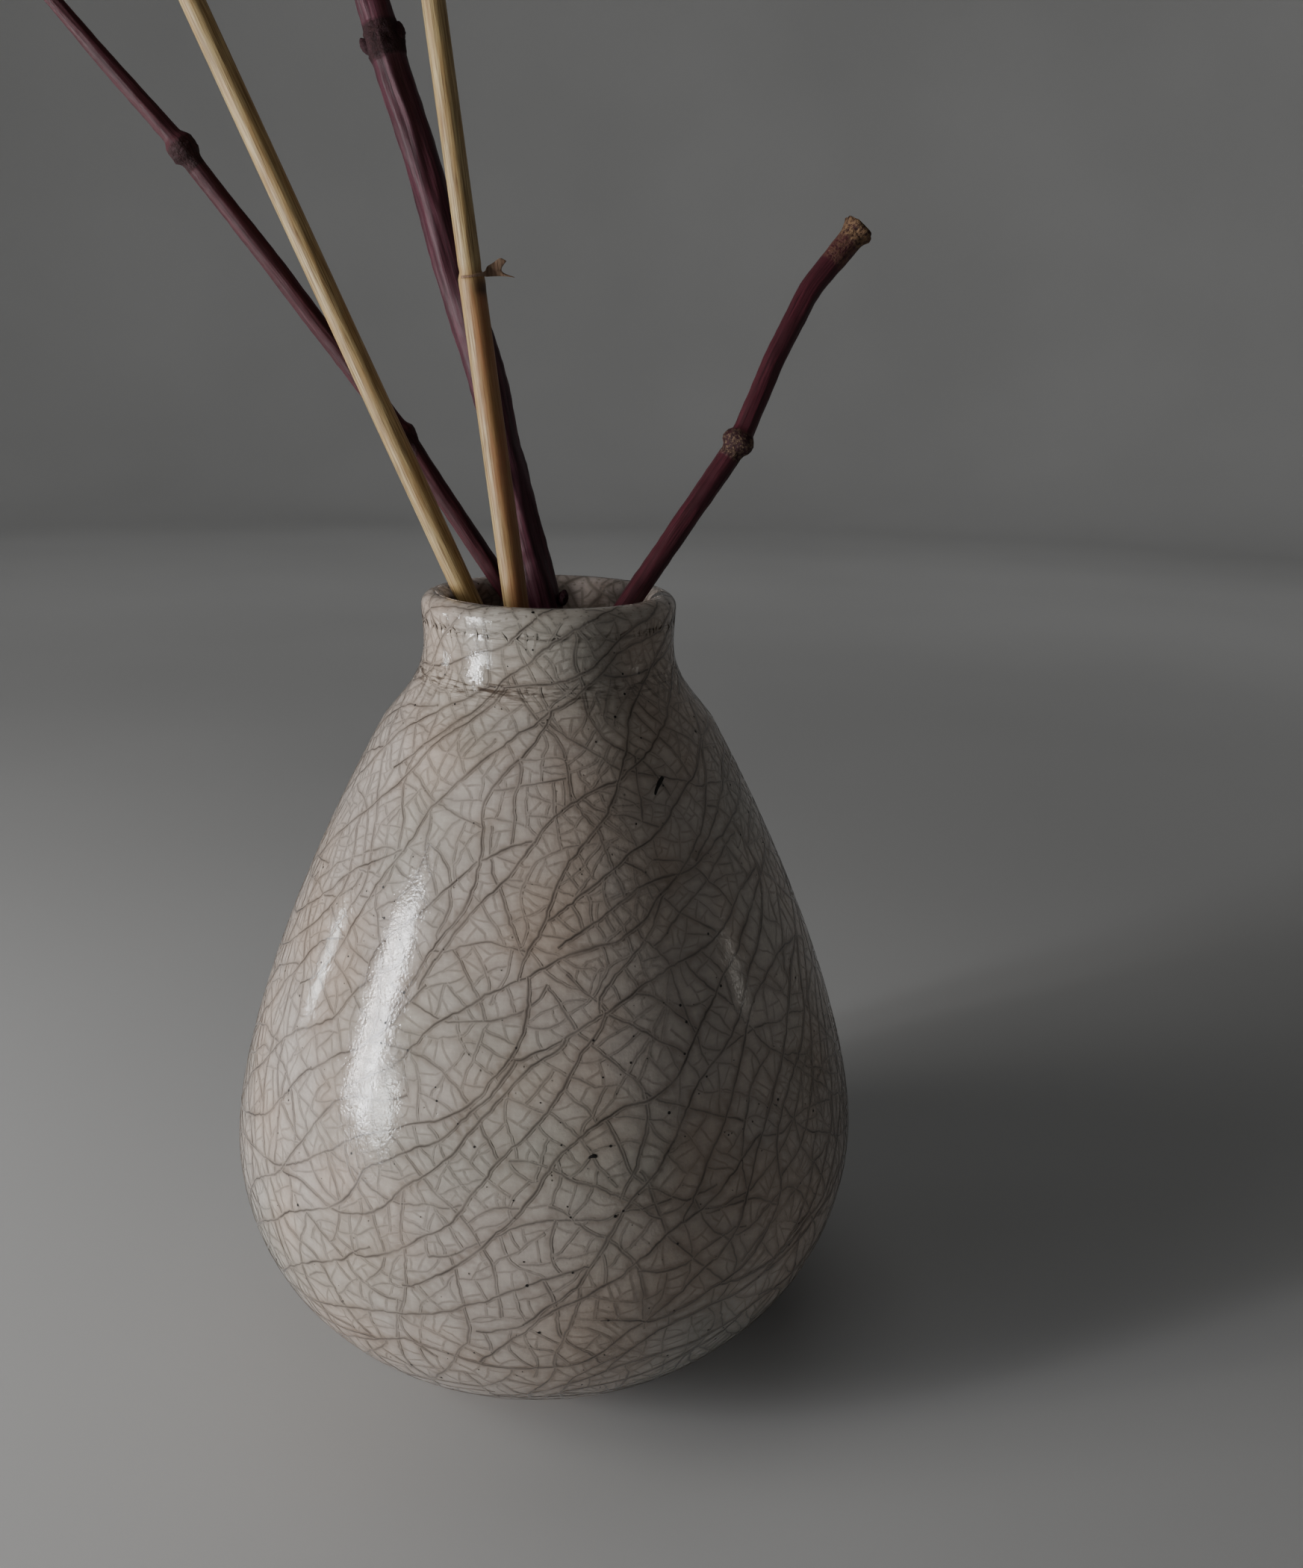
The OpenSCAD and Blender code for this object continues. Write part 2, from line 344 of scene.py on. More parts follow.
class Crackle:
    """Cracks that grow over a skin one after another, each until it meets an older one."""

    def __init__(self, skin, low, high, seed):
        self.skin, self.low, self.high = skin, low, high
        self.random = random.Random(seed)
        self.cells = {}
        self.cracks = []
        self.tree, self.tree_size, self.points = None, 0, []
        s = np.linspace(low, high, 400)
        area = np.cumsum(np.interp(s, skin.s, skin.r))
        self.area_s, self.area = s, area / area[-1]

    def spot(self, theta, s):
        """The place in space of an angle and a length along the skin."""
        r, z, _, _ = self.skin.place(s)
        return (r * math.cos(theta), r * math.sin(theta), z)

    def nearest(self, p):
        """The nearest point of an older crack within LOOK, as (distance, angle, length)."""
        cx, cy, cz = cell(p)
        best, found = LOOK * LOOK, None
        for dx in (-1, 0, 1):
            for dy in (-1, 0, 1):
                for dz in (-1, 0, 1):
                    for q in self.cells.get((cx + dx, cy + dy, cz + dz), ()):
                        d = (p[0] - q[0]) ** 2 + (p[1] - q[1]) ** 2 + (p[2] - q[2]) ** 2
                        if d < best:
                            best, found = d, q
        return (math.sqrt(best), found[3], found[4]) if found else None

    def run(self, theta, s, heading, reach, wobble, pull, passes):
        """One end of a crack, grown until it meets another, an edge or its reach.

        It may first pass over some older ones.
        """
        path, turn, gone, clear = [], 0.0, 0.0, 0.0
        reach *= self.random.uniform(0.5, 1.2)
        while gone < reach:
            turn = MEMORY * turn + self.random.gauss(0, wobble)
            heading += turn
            if pull:
                off = pull(theta, s) - heading
                heading += STEER * math.sin(off) * (1 if math.cos(off) > 0 else -1)
            r = self.skin.place(s)[0]
            kinked = heading + self.random.gauss(0, KINK)
            theta += GROW_STEP * math.cos(kinked) / r
            s += GROW_STEP * math.sin(kinked)
            gone += GROW_STEP
            if not self.low < s < self.high:
                break
            near = self.nearest(self.spot(theta, s)) if gone > clear else None
            if near and near[0] < TOUCH and passes > 0:
                passes -= 1
                clear = gone + CLEARANCE
            elif near:
                distance, near_theta, near_s = near
                if distance < TOUCH:
                    path.append((theta + wrapped(near_theta - theta), near_s))
                    break
                across = wrapped(near_theta - theta) * r
                ahead = math.atan2(near_s - s, across)
                offset = wrapped(ahead - heading)
                if abs(offset) < SWERVE_ANGLE:
                    heading += SWERVE * offset * (1 - distance / LOOK)
            path.append((theta, s))
        return path

    def crack(self, theta, s, heading, level, reach, wobble, pull=None):
        """A whole crack through one place, grown both ways, and kept if it is long enough."""
        passes = self.random.choice(PASSES[level])
        forward = self.run(theta, s, heading, reach, wobble, pull, passes)
        passes = self.random.choice(PASSES[level])
        backward = self.run(theta, s, heading + math.pi, reach, wobble, pull, passes)
        path = backward[::-1] + [(theta, s)] + forward
        if len(path) < 4:
            return
        self.cracks.append((level, path))
        for t, along in path:
            p = self.spot(t, along)
            self.cells.setdefault(cell(p), []).append((*p, t, along))
            self.points.append((p, t, along, len(self.cracks) - 1))

    def refresh(self):
        """Rebuilds the search tree over every crack so far."""
        self.tree = KDTree(len(self.points))
        for i, (p, _, _, _) in enumerate(self.points):
            self.tree.insert(p, i)
        self.tree.balance()
        self.tree_size = len(self.points)

    def fill(self, level, gap, tries, reach, wobble, gap_at, slant=0.25, pull=None):
        """Splits every cell that is wider than the gap on either side of a random place."""
        for _ in range(tries):
            theta = self.random.uniform(0, TURN)
            s = float(np.interp(self.random.random(), self.area, self.area_s))
            p = self.spot(theta, s)
            room = gap * gap_at(Vector(p))
            if self.nearest(p) and room > LOOK:
                continue
            if len(self.points) > 1.03 * self.tree_size + 50:
                self.refresh()
            heading = pull(theta, s) if pull else self.random.uniform(0, TURN)
            if self.tree_size:
                _, index, distance = self.tree.find(p)
                if distance < room:
                    continue
                if not pull:
                    _, t, along, _ = self.points[index]
                    across = wrapped(t - theta) * self.skin.place(s)[0]
                    heading = math.atan2(along - s, across)
            heading += self.random.gauss(0, slant)
            self.crack(theta, s, heading, level, reach, wobble, pull)


def slant_of(crackle):
    """The direction that the long first cracks follow: a rising helix that lies flatter at the base."""
    heights = (0, 12 * MM, 34 * MM, 60 * MM, 95 * MM, 118 * MM, VASE_H)
    angles = (4, 8, 30, 40, 42, 34, 26)

    def aim(theta, s):
        """The direction at one place, with a slow drift and a quick one."""
        p = Vector(crackle.spot(theta, s))
        drift = noise.noise(p * 22) * 30 + noise.noise(p * 60 + Vector((5, 1, 3))) * 12
        return math.radians(float(np.interp(p.z, heights, angles)) + drift)

    return aim


def uneven(scale, amount, shift, top):
    """Cells that are wider in some places than in others, and top times as wide at the neck."""
    offset = Vector((shift, 2 * shift, 3 * shift))

    def at(p):
        """How wide the cells are at one place, against the usual."""
        size = float(np.interp(p.z, (16 * MM, 30 * MM, 85 * MM, 110 * MM), (1.3, 1, 1, top)))
        return size * (1 + amount * noise.noise(p * scale + offset))

    return at


def grow_crackle(skin):
    """The whole network: long cracks first, then the ones that split the cells between them."""
    crackle = Crackle(skin, 1.2 * MM, skin.length - 1 * MM, seed=11)
    aim = slant_of(crackle)
    wide = uneven(30, 0.5, 3.1, 1)
    fine = uneven(30, 0.5, 3.1, 0.7)
    for level, (gap, tries, reach, wobble, slant) in enumerate(LEVELS[:LEVELS_MADE]):
        width, pull = (wide if level < 2 else fine), (aim if level == 0 else None)
        crackle.fill(level, gap, tries, reach, wobble, width, slant, pull)
    return crackle


LINE_WIDTHS = (0.62 * MM, 0.56 * MM, 0.52 * MM, 0.42 * MM)
LINE_TONES = (1.0, 0.84, 0.62, 0.4)
LINE_LIFTS = (0.03 * MM, 0.024 * MM, 0.018 * MM, 0.012 * MM)
LINE_DEPTH = 0.09 * MM
MOUTH_FAINTNESS = 0.4
LINE_SPACING = (2, 2, 2, 3)
STRIP_SIDES = ((1, 0, 4, 5), (2, 1, 5, 6), (0, 3, 7, 4), (3, 2, 6, 7))


def thin_out(path, every):
    """Keeps both ends of a path and every so many of the points between."""
    kept = path[:-1:every]
    return kept + [path[-1]]


def crack_strip(skin, path, level, seed):
    """The vertices, faces and tones of one crack: a thin wedge, darkest along its middle."""
    theta = np.array([t for t, _ in path])
    s = np.array([along for _, along in path])
    r = np.interp(s, skin.s, skin.r)
    du, dv = np.gradient(theta) * r, np.gradient(s)
    size = np.maximum(np.hypot(du, dv), 1e-9)
    index = np.arange(len(path))
    wave = 0.5 + 0.5 * np.sin(index * 0.45 + seed) * np.sin(index * 0.17 + 2.3 * seed)
    half = 0.5 * LINE_WIDTHS[level] * (0.75 + 0.5 * wave)
    side_t, side_s = -dv / size * half / r, du / size * half
    lift = LINE_LIFTS[level]
    left = skin.points(theta + side_t, s + side_s, lift)
    middle = skin.points(theta, s, lift)
    right = skin.points(theta - side_t, s - side_s, lift)
    deep = skin.points(theta, s, -LINE_DEPTH)
    places = np.stack((left, middle, right, deep), axis=1).reshape(-1, 3)
    tones = np.zeros((len(path), 4))
    faint = np.where(s > OUTER_LENGTH, MOUTH_FAINTNESS, 1)
    tones[:, 1] = LINE_TONES[level] * (0.7 + 0.3 * wave[::-1]) * faint
    a = 4 * np.arange(len(path) - 1)
    faces = [np.column_stack([a + i for i in side]) for side in STRIP_SIDES]
    last = 4 * (len(path) - 1)
    caps = [(0, 1, 2, 3), (last + 2, last + 1, last, last + 3)]
    return places, np.concatenate(faces), caps, tones.ravel()


def crack_lines(name, crackle, level):
    """All the cracks of one level as one mesh of closed strips."""
    places, quads, caps, tones, count = [], [], [], [], 0
    for number, (found, path) in enumerate(crackle.cracks):
        if found != level:
            continue
        strip, faces, ends, tone = crack_strip(
            crackle.skin, thin_out(path, LINE_SPACING[level]), level, number)
        places.append(strip)
        tones.append(tone)
        quads.append(faces + count)
        caps += [tuple(i + count for i in end) for end in ends]
        count += len(strip)
    places = np.concatenate(places)
    piece = from_faces(name, places.tolist(), np.concatenate(quads).tolist() + caps)
    attribute(piece, "ink", np.concatenate(tones))
    attribute(piece, "stain", np.full(len(places), 0.6 * STAIN_STRENGTH[min(level, 2)]))
    attribute(piece, "swell", np.full(len(places), 0.2))
    attribute(piece, "grime", grime_at(places))
    return finish_mesh(piece, smooth=False)


# ---- the glaze coats
NECK_BASE = VASE_H - 12.4 * MM
STAIN_REACH = 0.7 * MM
STAIN_STRENGTH = (1.0, 0.8, 0.45)
PILLOW_REACH = 1.2 * MM
PILLOW_DEPTH = 0.03 * MM
GRID = 0.3 * MM
GRID_COLUMNS = 1100
GRID_PASSES = 7
GRID_STEPS = (
    (0, 1), (0, -1), (0, 3), (0, -3), (1, 0), (-1, 0), (1, 1), (-1, -1), (1, -1), (-1, 1))
FAR = 5 * MM
COLLAR_HALF = 1.6 * MM
BACK_SPACING = 2.5 * MM


def distance_to_cracks(crackle, level):
    """A grid over the skin, angle by length, of the distance to the nearest crack of one level."""
    skin = crackle.skin
    rows = int(skin.length / GRID) + 2
    ring = TURN * np.interp(np.arange(rows) * GRID, skin.s, skin.r) / GRID_COLUMNS
    away = np.full((rows, GRID_COLUMNS), FAR)
    for number, path in crackle.cracks:
        if number == level:
            theta, s = np.array(path).T
            column = np.rint(theta % TURN / TURN * GRID_COLUMNS).astype(int) % GRID_COLUMNS
            away[np.rint(s / GRID).astype(int), column] = 0
    for _ in range(GRID_PASSES):
        for down, across in GRID_STEPS:
            step = np.hypot(down * GRID, across * ring)[:, None]
            np.minimum(away, np.roll(away, (down, across), (0, 1)) + step, out=away)
    return away


def grime_at(places):
    """How much dirt has settled: in the throwing marks, the line under the lip and odd patches."""
    grime = np.empty(len(places))
    for i, (x, y, z) in enumerate(places):
        patch = 0.5 + 0.5 * noise.noise(Vector((x, y, z)) * 45)
        ring = math.exp(-((z - NECK_BASE) / (1.5 * MM)) ** 2)
        line = math.exp(-((z - VASE_H + LIP_LINE_DROP) / (0.5 * MM)) ** 2)
        neck = min(1, max(0, (z - NECK_BASE + 14 * MM) / (12 * MM)))
        grime[i] = min(1, 1.1 * ring * patch + 0.9 * line * patch + 0.35 * neck * patch ** 2 + 0.05)
    return grime


def stain_and_pillow(piece, crackle, inside):
    """Soft stains beside the cracks and a slight swell in each cell between them.

    The crackle's skin runs over both coats, so inside says which of the two the piece is.
    """
    places = vertices(piece)
    skin = crackle.skin
    outer_half = skin.s < OUTER_LENGTH
    part = ~outer_half if inside else outer_half
    order = np.argsort(skin.z[part])
    s = np.interp(places[:, 2], skin.z[part][order], skin.s[part][order])
    row = np.rint(s / GRID).astype(int)
    column = np.rint(np.arctan2(places[:, 1], places[:, 0]) % TURN / TURN * GRID_COLUMNS).astype(int)
    column %= GRID_COLUMNS
    stain, swell = np.zeros(len(places)), np.ones(len(places))
    for level, strength in enumerate(STAIN_STRENGTH):
        away = distance_to_cracks(crackle, level)[row, column]
        stain = np.maximum(stain, strength * np.exp(-(away / STAIN_REACH) ** 2))
        swell = np.minimum(swell, away / PILLOW_REACH)
    attribute(piece, "stain", stain)
    attribute(piece, "swell", swell)
    attribute(piece, "grime", grime_at(places))
    return swell


def clay_side(skin):
    """The side of a coat that lies on the clay, from the far end back."""
    rows = []
    for s in np.arange(0, skin.length, BACK_SPACING)[::-1]:
        r, z, nr, nz = skin.place(s)
        sunk = GLAZE_T * 0.8 * min(1, s / (3 * MM))
        rows.append((r - nr * sunk, z - nz * sunk))
    return rows


def lip_line_and_throwing(places):
    """How far the outer surface is sunk by the line under the lip and by the marks of throwing."""
    z = places[:, 2]
    line = np.exp(-((z - (VASE_H - LIP_LINE_DROP)) / LIP_LINE_HALF) ** 2) * LIP_LINE_DEPTH
    rings = 0.5 + 0.5 * np.sin(z / (1.9 * MM) + 1.3 * np.sin(z / (7 * MM)))
    collar = np.exp(-((z - NECK_BASE) / COLLAR_HALF) ** 2)
    grooves = 0.5 + 0.5 * np.sin(z / (0.17 * MM))
    marks = 0.012 * MM * rings + 0.035 * MM * collar * grooves
    return line + marks


def outer_coat(outer, crackle):
    """The outer glaze: spun, closed on the clay side, then sunk along its cracks."""
    outline = outer.spaced(OUTER_ROWS) + clay_side(outer)
    piece = thrown("crackle_glaze", outline + outline[:1], OUTER_STEPS)
    swell = stain_and_pillow(piece, crackle, inside=False)
    places = vertices(piece)
    radius = np.hypot(places[:, 0], places[:, 1])
    surface = np.interp(places[:, 2], outer.z, outer.r)
    on_face = radius > surface - 0.2 * MM
    sink = PILLOW_DEPTH * (1 - np.minimum(swell, 1)) ** 2 + lip_line_and_throwing(places)
    sink = np.where(on_face & (places[:, 2] < VASE_H - 2 * MM), sink, 0)
    scale = (radius - sink) / radius
    places[:, 0] *= scale
    places[:, 1] *= scale
    move_vertices(piece, places)
    return piece


def inner_coat(liner, crackle):
    """The glaze inside, from the lip down to the floor."""
    piece = thrown("liner_glaze", liner.spaced(LINER_ROWS) + clay_side(liner), LINER_STEPS)
    stain_and_pillow(piece, crackle, inside=True)
    return piece


# ---- small marks in the glaze
def disc(places, faces, centre, across, up, radius, depth, sides):
    """A small flat-topped plug set in the glaze."""
    first = len(places)
    for ring_lift, grow in ((MARK_LIFT, 1.0), (-depth, 0.6)):
        for i in range(sides):
            a = TURN * i / sides
            out = across * math.cos(a) + up * math.sin(a)
            places.append(centre + out * radius * grow + across.cross(up) * ring_lift)
    top = list(range(first, first + sides))
    low = list(range(first + sides, first + 2 * sides))
    faces.append(top)
    faces.append(low[::-1])
    for i in range(sides):
        j = (i + 1) % sides
        faces.append([top[j], top[i], low[i], low[j]])


def frame_at(skin, theta, s):
    """A place on the skin with its sideways and upward directions."""
    r, z, nr, nz = skin.place(s)
    around = Vector((-math.sin(theta), math.cos(theta), 0))
    normal = Vector((nr * math.cos(theta), nr * math.sin(theta), nz))
    return Vector((r * math.cos(theta), r * math.sin(theta), z)), around, normal.cross(around)


def pinholes(crackle, count):
    """Tiny dark pits where gas broke through the glaze, often beside a crack."""
    rng = random.Random(5)
    places, faces = [], []
    for _ in range(count):
        theta = rng.uniform(0, TURN)
        s = float(np.interp(rng.random(), crackle.area, crackle.area_s))
        if rng.random() < 0.5:
            _, theta, s, _ = rng.choice(crackle.points)
        p = crackle.spot(theta, s)
        if noise.noise(Vector(p) * 40) < rng.uniform(-0.6, 0.5):
            continue
        centre, around, up = frame_at(crackle.skin, theta, s)
        size = rng.choice((0.07, 0.09, 0.12, 0.2)) * rng.uniform(0.8, 1.3) * MM
        disc(places, faces, centre, around, up, size, 0.05 * MM, 7)
    return finish_mesh(from_faces("pinholes", places, faces), smooth=False)


def iron_fleck(name, skin, angle, height, length, width, lean):
    """A black iron spot; one is long and lies high on the front, the other is a small blot."""
    s = float(np.interp(height, skin.z, skin.s))
    centre, around, up = frame_at(skin, math.radians(angle), s)
    lean = math.radians(lean)
    piece = ball(name, 24, 14)
    along = around * math.cos(lean) + up * math.sin(lean)
    across = around * -math.sin(lean) + up * math.cos(lean)
    outward = around.cross(up)
    places = []
    for x, y, z in vertices(piece):
        blunt = max(1 - x * x, 0.04) ** -0.3
        narrow = (0.68 + 0.24 * x + 0.07 * math.sin(6 * x)) * blunt
        bow = -0.35 * x * x
        spot = centre + along * x * length / 2
        spot += across * (y * narrow + bow) * width / 2
        places.append(spot + outward * z * 0.08 * MM)
    move_vertices(piece, np.array(places))
    return finish_mesh(piece)


# ---- stems: paths and sticks
LIP_PLANE = 136 * MM
REED_R = 2.1 * MM
REED_TIP_R = 1.8 * MM


def on_axis(at, lean, z):
    """Where a stem's straight lower axis is at a height."""
    rise = z - LIP_PLANE
    return Vector((at[0] * MM + lean[0] * rise, at[1] * MM + lean[1] * rise, z))


def path_through(corners, step, soften):
    """Evenly spaced places along straight lengths, eased round the corners."""
    corners = np.array([tuple(c) for c in corners])
    lengths = np.linalg.norm(np.diff(corners, axis=0), axis=1)
    along = np.concatenate(([0], np.cumsum(lengths)))
    t = np.linspace(0, along[-1], int(along[-1] / step) + 1)
    path = np.column_stack([np.interp(t, along, corners[:, k]) for k in range(3)])
    reach = max(1, int(soften / step))
    padded = np.concatenate((
        2 * path[0] - path[reach:0:-1], path, 2 * path[-1] - path[-2:-reach - 2:-1]))
    window = np.hanning(2 * reach + 3)[1:-1]
    window /= window.sum()
    smooth = np.column_stack([np.convolve(padded[:, k], window, mode="valid") for k in range(3)])
    return smooth, t


def halve_lengthwise(piece):
    """Cuts every edge that runs along a straight upright cylinder in half, all round."""
    edit("DESELECT")
    bpy.ops.mesh.select_mode(type="EDGE")
    leave_edit()
    ends = np.empty(len(piece.data.edges) * 2, dtype=int)
    piece.data.edges.foreach_get("vertices", ends)
    height = vertices(piece)[:, 2][ends.reshape(-1, 2)]
    piece.data.edges.foreach_set("select", np.abs(height[:, 0] - height[:, 1]) > 1e-5)
    bpy.ops.object.mode_set(mode="EDIT")
    bpy.ops.mesh.subdivide(number_cuts=1)
    bpy.ops.mesh.select_mode(type="VERT")
    leave_edit()


def stick(name, path, along, sides, radius_at):
    """A stem: a cylinder cut into rings, then laid along its path with its own relief."""
    select_none()
    bpy.ops.mesh.primitive_cylinder_add(vertices=sides, radius=1, depth=1, end_fill_type="NGON")
    piece = named(name)
    halvings = round(math.log2(len(path)))
    rings = 2 ** halvings + 1
    even = np.linspace(0, along[-1], rings)
    path = np.column_stack([np.interp(even, along, path[:, k]) for k in range(3)])
    along = even
    for _ in range(halvings):
        halve_lengthwise(piece)
    straight = vertices(piece)
    ring = np.rint((straight[:, 2] + 0.5) * (rings - 1)).astype(int)
    angle = np.arctan2(straight[:, 1], straight[:, 0])
    ahead = np.gradient(path, axis=0)
    ahead /= np.linalg.norm(ahead, axis=1)[:, None]
    side = np.cross(ahead, (0.0, 1.0, 0.0))
    side /= np.linalg.norm(side, axis=1)[:, None]
    front = np.cross(ahead, side)
    radius = radius_at(along[ring], angle)
    out = side[ring] * np.cos(angle)[:, None] + front[ring] * np.sin(angle)[:, None]
    move_vertices(piece, path[ring] + out * radius[:, None])
    grain = np.column_stack((np.cos(angle), np.sin(angle), along[ring] / (10 * MM)))
    attribute(piece, "grain", grain)
    edit()
    bpy.ops.mesh.normals_make_consistent(inside=False)
    leave_edit()
    return piece


def rough(angle, along, seed, scale, stretch):
    """Smooth noise over a stem's surface: scale is its fineness round it, stretch its length."""
    offset = Vector((seed * 7.3, seed * 2.1, 0))
    values = np.empty(len(along))
    for i in range(len(values)):
        spot = Vector((math.cos(angle[i]) * scale, math.sin(angle[i]) * scale, along[i] / stretch))
        values[i] = noise.noise(spot + offset)
    return values


def bump(along, centre, half):
    """A smooth swelling round one place on a stem."""
    return np.exp(-((along - centre) / half) ** 2)


# ---- reeds
REED_LEFT_AT = (-14.2, 1.8)
REED_LEFT_LEAN = (-0.444, 0.03)
REED_LEFT_ENDS = (20 * MM, 248 * MM)
REED_CENTRE_AT = (-5.6, -4)
REED_CENTRE_LEAN = (-0.128, 0)
REED_CENTRE_ENDS = (12.5 * MM, 262 * MM)
REED_NODE_Z = 182.8 * MM
PITH_R = 1 * MM
PITH_DEPTH = 8 * MM
PITH_STEPS = 4
REED_SIDES = 36
TWIG_SIDES = 40


def hollow_end(piece, top, ahead):
    """Opens the cut end of a reed with a bore."""
    only(piece)
    edit("DESELECT")
    leave_edit()
    caps = [f for f in piece.data.polygons if len(f.vertices) > 4]
    end = min(caps, key=lambda f: (f.center - top).length)
    end.select = True
    bpy.ops.object.mode_set(mode="EDIT")
    bpy.ops.mesh.select_mode(type="FACE")
    bpy.ops.mesh.inset(thickness=REED_TIP_R - PITH_R)
    for _ in range(PITH_STEPS):
        move = tuple(-ahead * PITH_DEPTH / PITH_STEPS)
        bpy.ops.mesh.extrude_region_move(TRANSFORM_OT_translate={"value": move})
    bpy.ops.mesh.select_mode(type="VERT")
    leave_edit()


def reed(name, at, lean, ends, node_z, seed):
    """A dry reed: slightly fluted, tapering, with a ring where a leaf grew if it has a node."""
    low, high = on_axis(at, lean, ends[0]), on_axis(at, lean, ends[1])
    path, along = path_through((low, high), 1.2 * MM, 2 * MM)
    stretch = (high - low).length / (ends[1] - ends[0])
    node = (node_z - ends[0]) * stretch if node_z else -1

    def radius_at(t, angle):
        """The reed's radius, with its flutes, its uneven side and its node."""
        taper = REED_R + (REED_TIP_R - REED_R) * t / along[-1]
        flutes = 0.012 * np.sin(angle * 11 + seed) + 0.008 * np.sin(angle * 17 + 2 * seed)
        uneven_side = rough(angle, t, seed, 0.7, 26 * MM)
        radius = taper * (0.985 + flutes * 0.6) * (1 + 0.02 * uneven_side)
        if node > 0:
            ridge = 0.2 * MM * bump(t, node, 0.7 * MM)
            radius += ridge - 0.1 * MM * bump(t, node + 1.3 * MM, 0.5 * MM)
            radius *= 0.93 + 0.12 * np.clip(0.5 + (node - t) / (1.6 * MM), 0, 1)
        return radius

    piece = stick(name, path, along, REED_SIDES, radius_at)
    hollow_end(piece, high, (high - low).normalized())
    places = vertices(piece)
    below = (node_z if node_z else LIP_PLANE - 10 * MM) - places[:, 2]
    ring = np.exp(-((below - 1.2 * MM) / (1.1 * MM)) ** 2) if node_z else np.zeros(len(places))
    middle = np.interp(places[:, 2], path[:, 2], path[:, 0])
    aside = (places[:, 0] - middle) / REED_R
    # Painted shade: the browning is kept off the left of the stem, which faces the key light, and is
    # full on its shaded right side. The browning itself is the reed's own colour.
    shaded_side = np.clip(0.75 + 0.9 * aside, 0, 1)
    attribute(piece, "browning_and_shade", np.clip(0.5 + below / (4 * MM), 0, 1) * shaded_side)
    attribute(piece, "scar", ring * np.clip(0.35 + aside, 0, 1))
    return finish_mesh(piece)


def leaf_scrap():
    """The scrap of dry leaf that is left round the centre reed at its node."""
    at, lean = REED_CENTRE_AT, REED_CENTRE_LEAN
    base = on_axis(at, lean, REED_NODE_Z)
    ahead = (on_axis(at, lean, REED_NODE_Z + 10 * MM) - base).normalized()
    side = ahead.cross(Vector((0, 1, 0))).normalized()
    front = ahead.cross(side)
    select_none()
    bpy.ops.mesh.primitive_grid_add(x_subdivisions=34, y_subdivisions=10, size=2)
    piece = named("leaf_scrap")
    places = []
    for x, y, _ in vertices(piece):
        u, v = (x + 1) / 2, (y + 1) / 2
        ragged = 0.6 + 0.4 * noise.noise(Vector((u * 5, 1.7, 0)))
        wrap = min(u / 0.6, 1)
        height = (0.2 + v * (0.5 + 2.2 * wrap ** 3) * ragged) * MM
        angle = math.radians(50 + 130 * wrap)
        loose = max(0, (u - 0.6) / 0.4)
        ripple = 0.06 * MM * noise.noise(Vector((u * 4, v * 2, 3)))
        radius = REED_R + 0.1 * MM + 0.3 * MM * v * wrap ** 3 + ripple
        out = side * math.cos(angle) + front * math.sin(angle)
        spot = base + out * radius + ahead * height
        tip = -side * 4.4 + front * (0.5 * math.sin(loose * 3)) + ahead * (0.6 - 0.5 * loose)
        notch = (1 - 0.4 * math.sin(math.pi * v)) * (1 - 0.3 * v)
        spot += tip * MM * loose * notch + ahead * (v - 0.5) * loose * 1.3 * MM
        places.append(spot)
    move_vertices(piece, np.array(places))
    only(piece)
    thick = piece.modifiers.new("thickness", "SOLIDIFY")
    thick.thickness = 0.16 * MM
    thick.offset = 0
    bpy.ops.object.modifier_apply(modifier=thick.name)
    smooth = piece.modifiers.new("smooth", "SUBSURF")
    smooth.levels = smooth.render_levels = 1
    bpy.ops.object.modifier_apply(modifier=smooth.name)
    local = vertices(piece) - np.array(base)
    grain = np.column_stack((local @ np.array(side), local @ np.array(front), local @ np.array(ahead)))
    attribute(piece, "grain", grain / (2 * MM))
    return finish_mesh(piece)


# ---- twigs
TWIG_LEFT_AT = (-8.5, 11.2)
TWIG_LEFT_LEAN = (-0.65, -0.02)
TWIG_CENTRE_AT = (-1.9, 5.4)
TWIG_CENTRE_LEAN = (-0.253, -0.01)
TWIG_RIGHT_AT = (13.6, -3.5)
TWIG_RIGHT_LEAN = (0.7, 0.22)


def upper(points):
    """Places given in millimetres, as vectors in metres."""
    return [Vector(p) * MM for p in points]


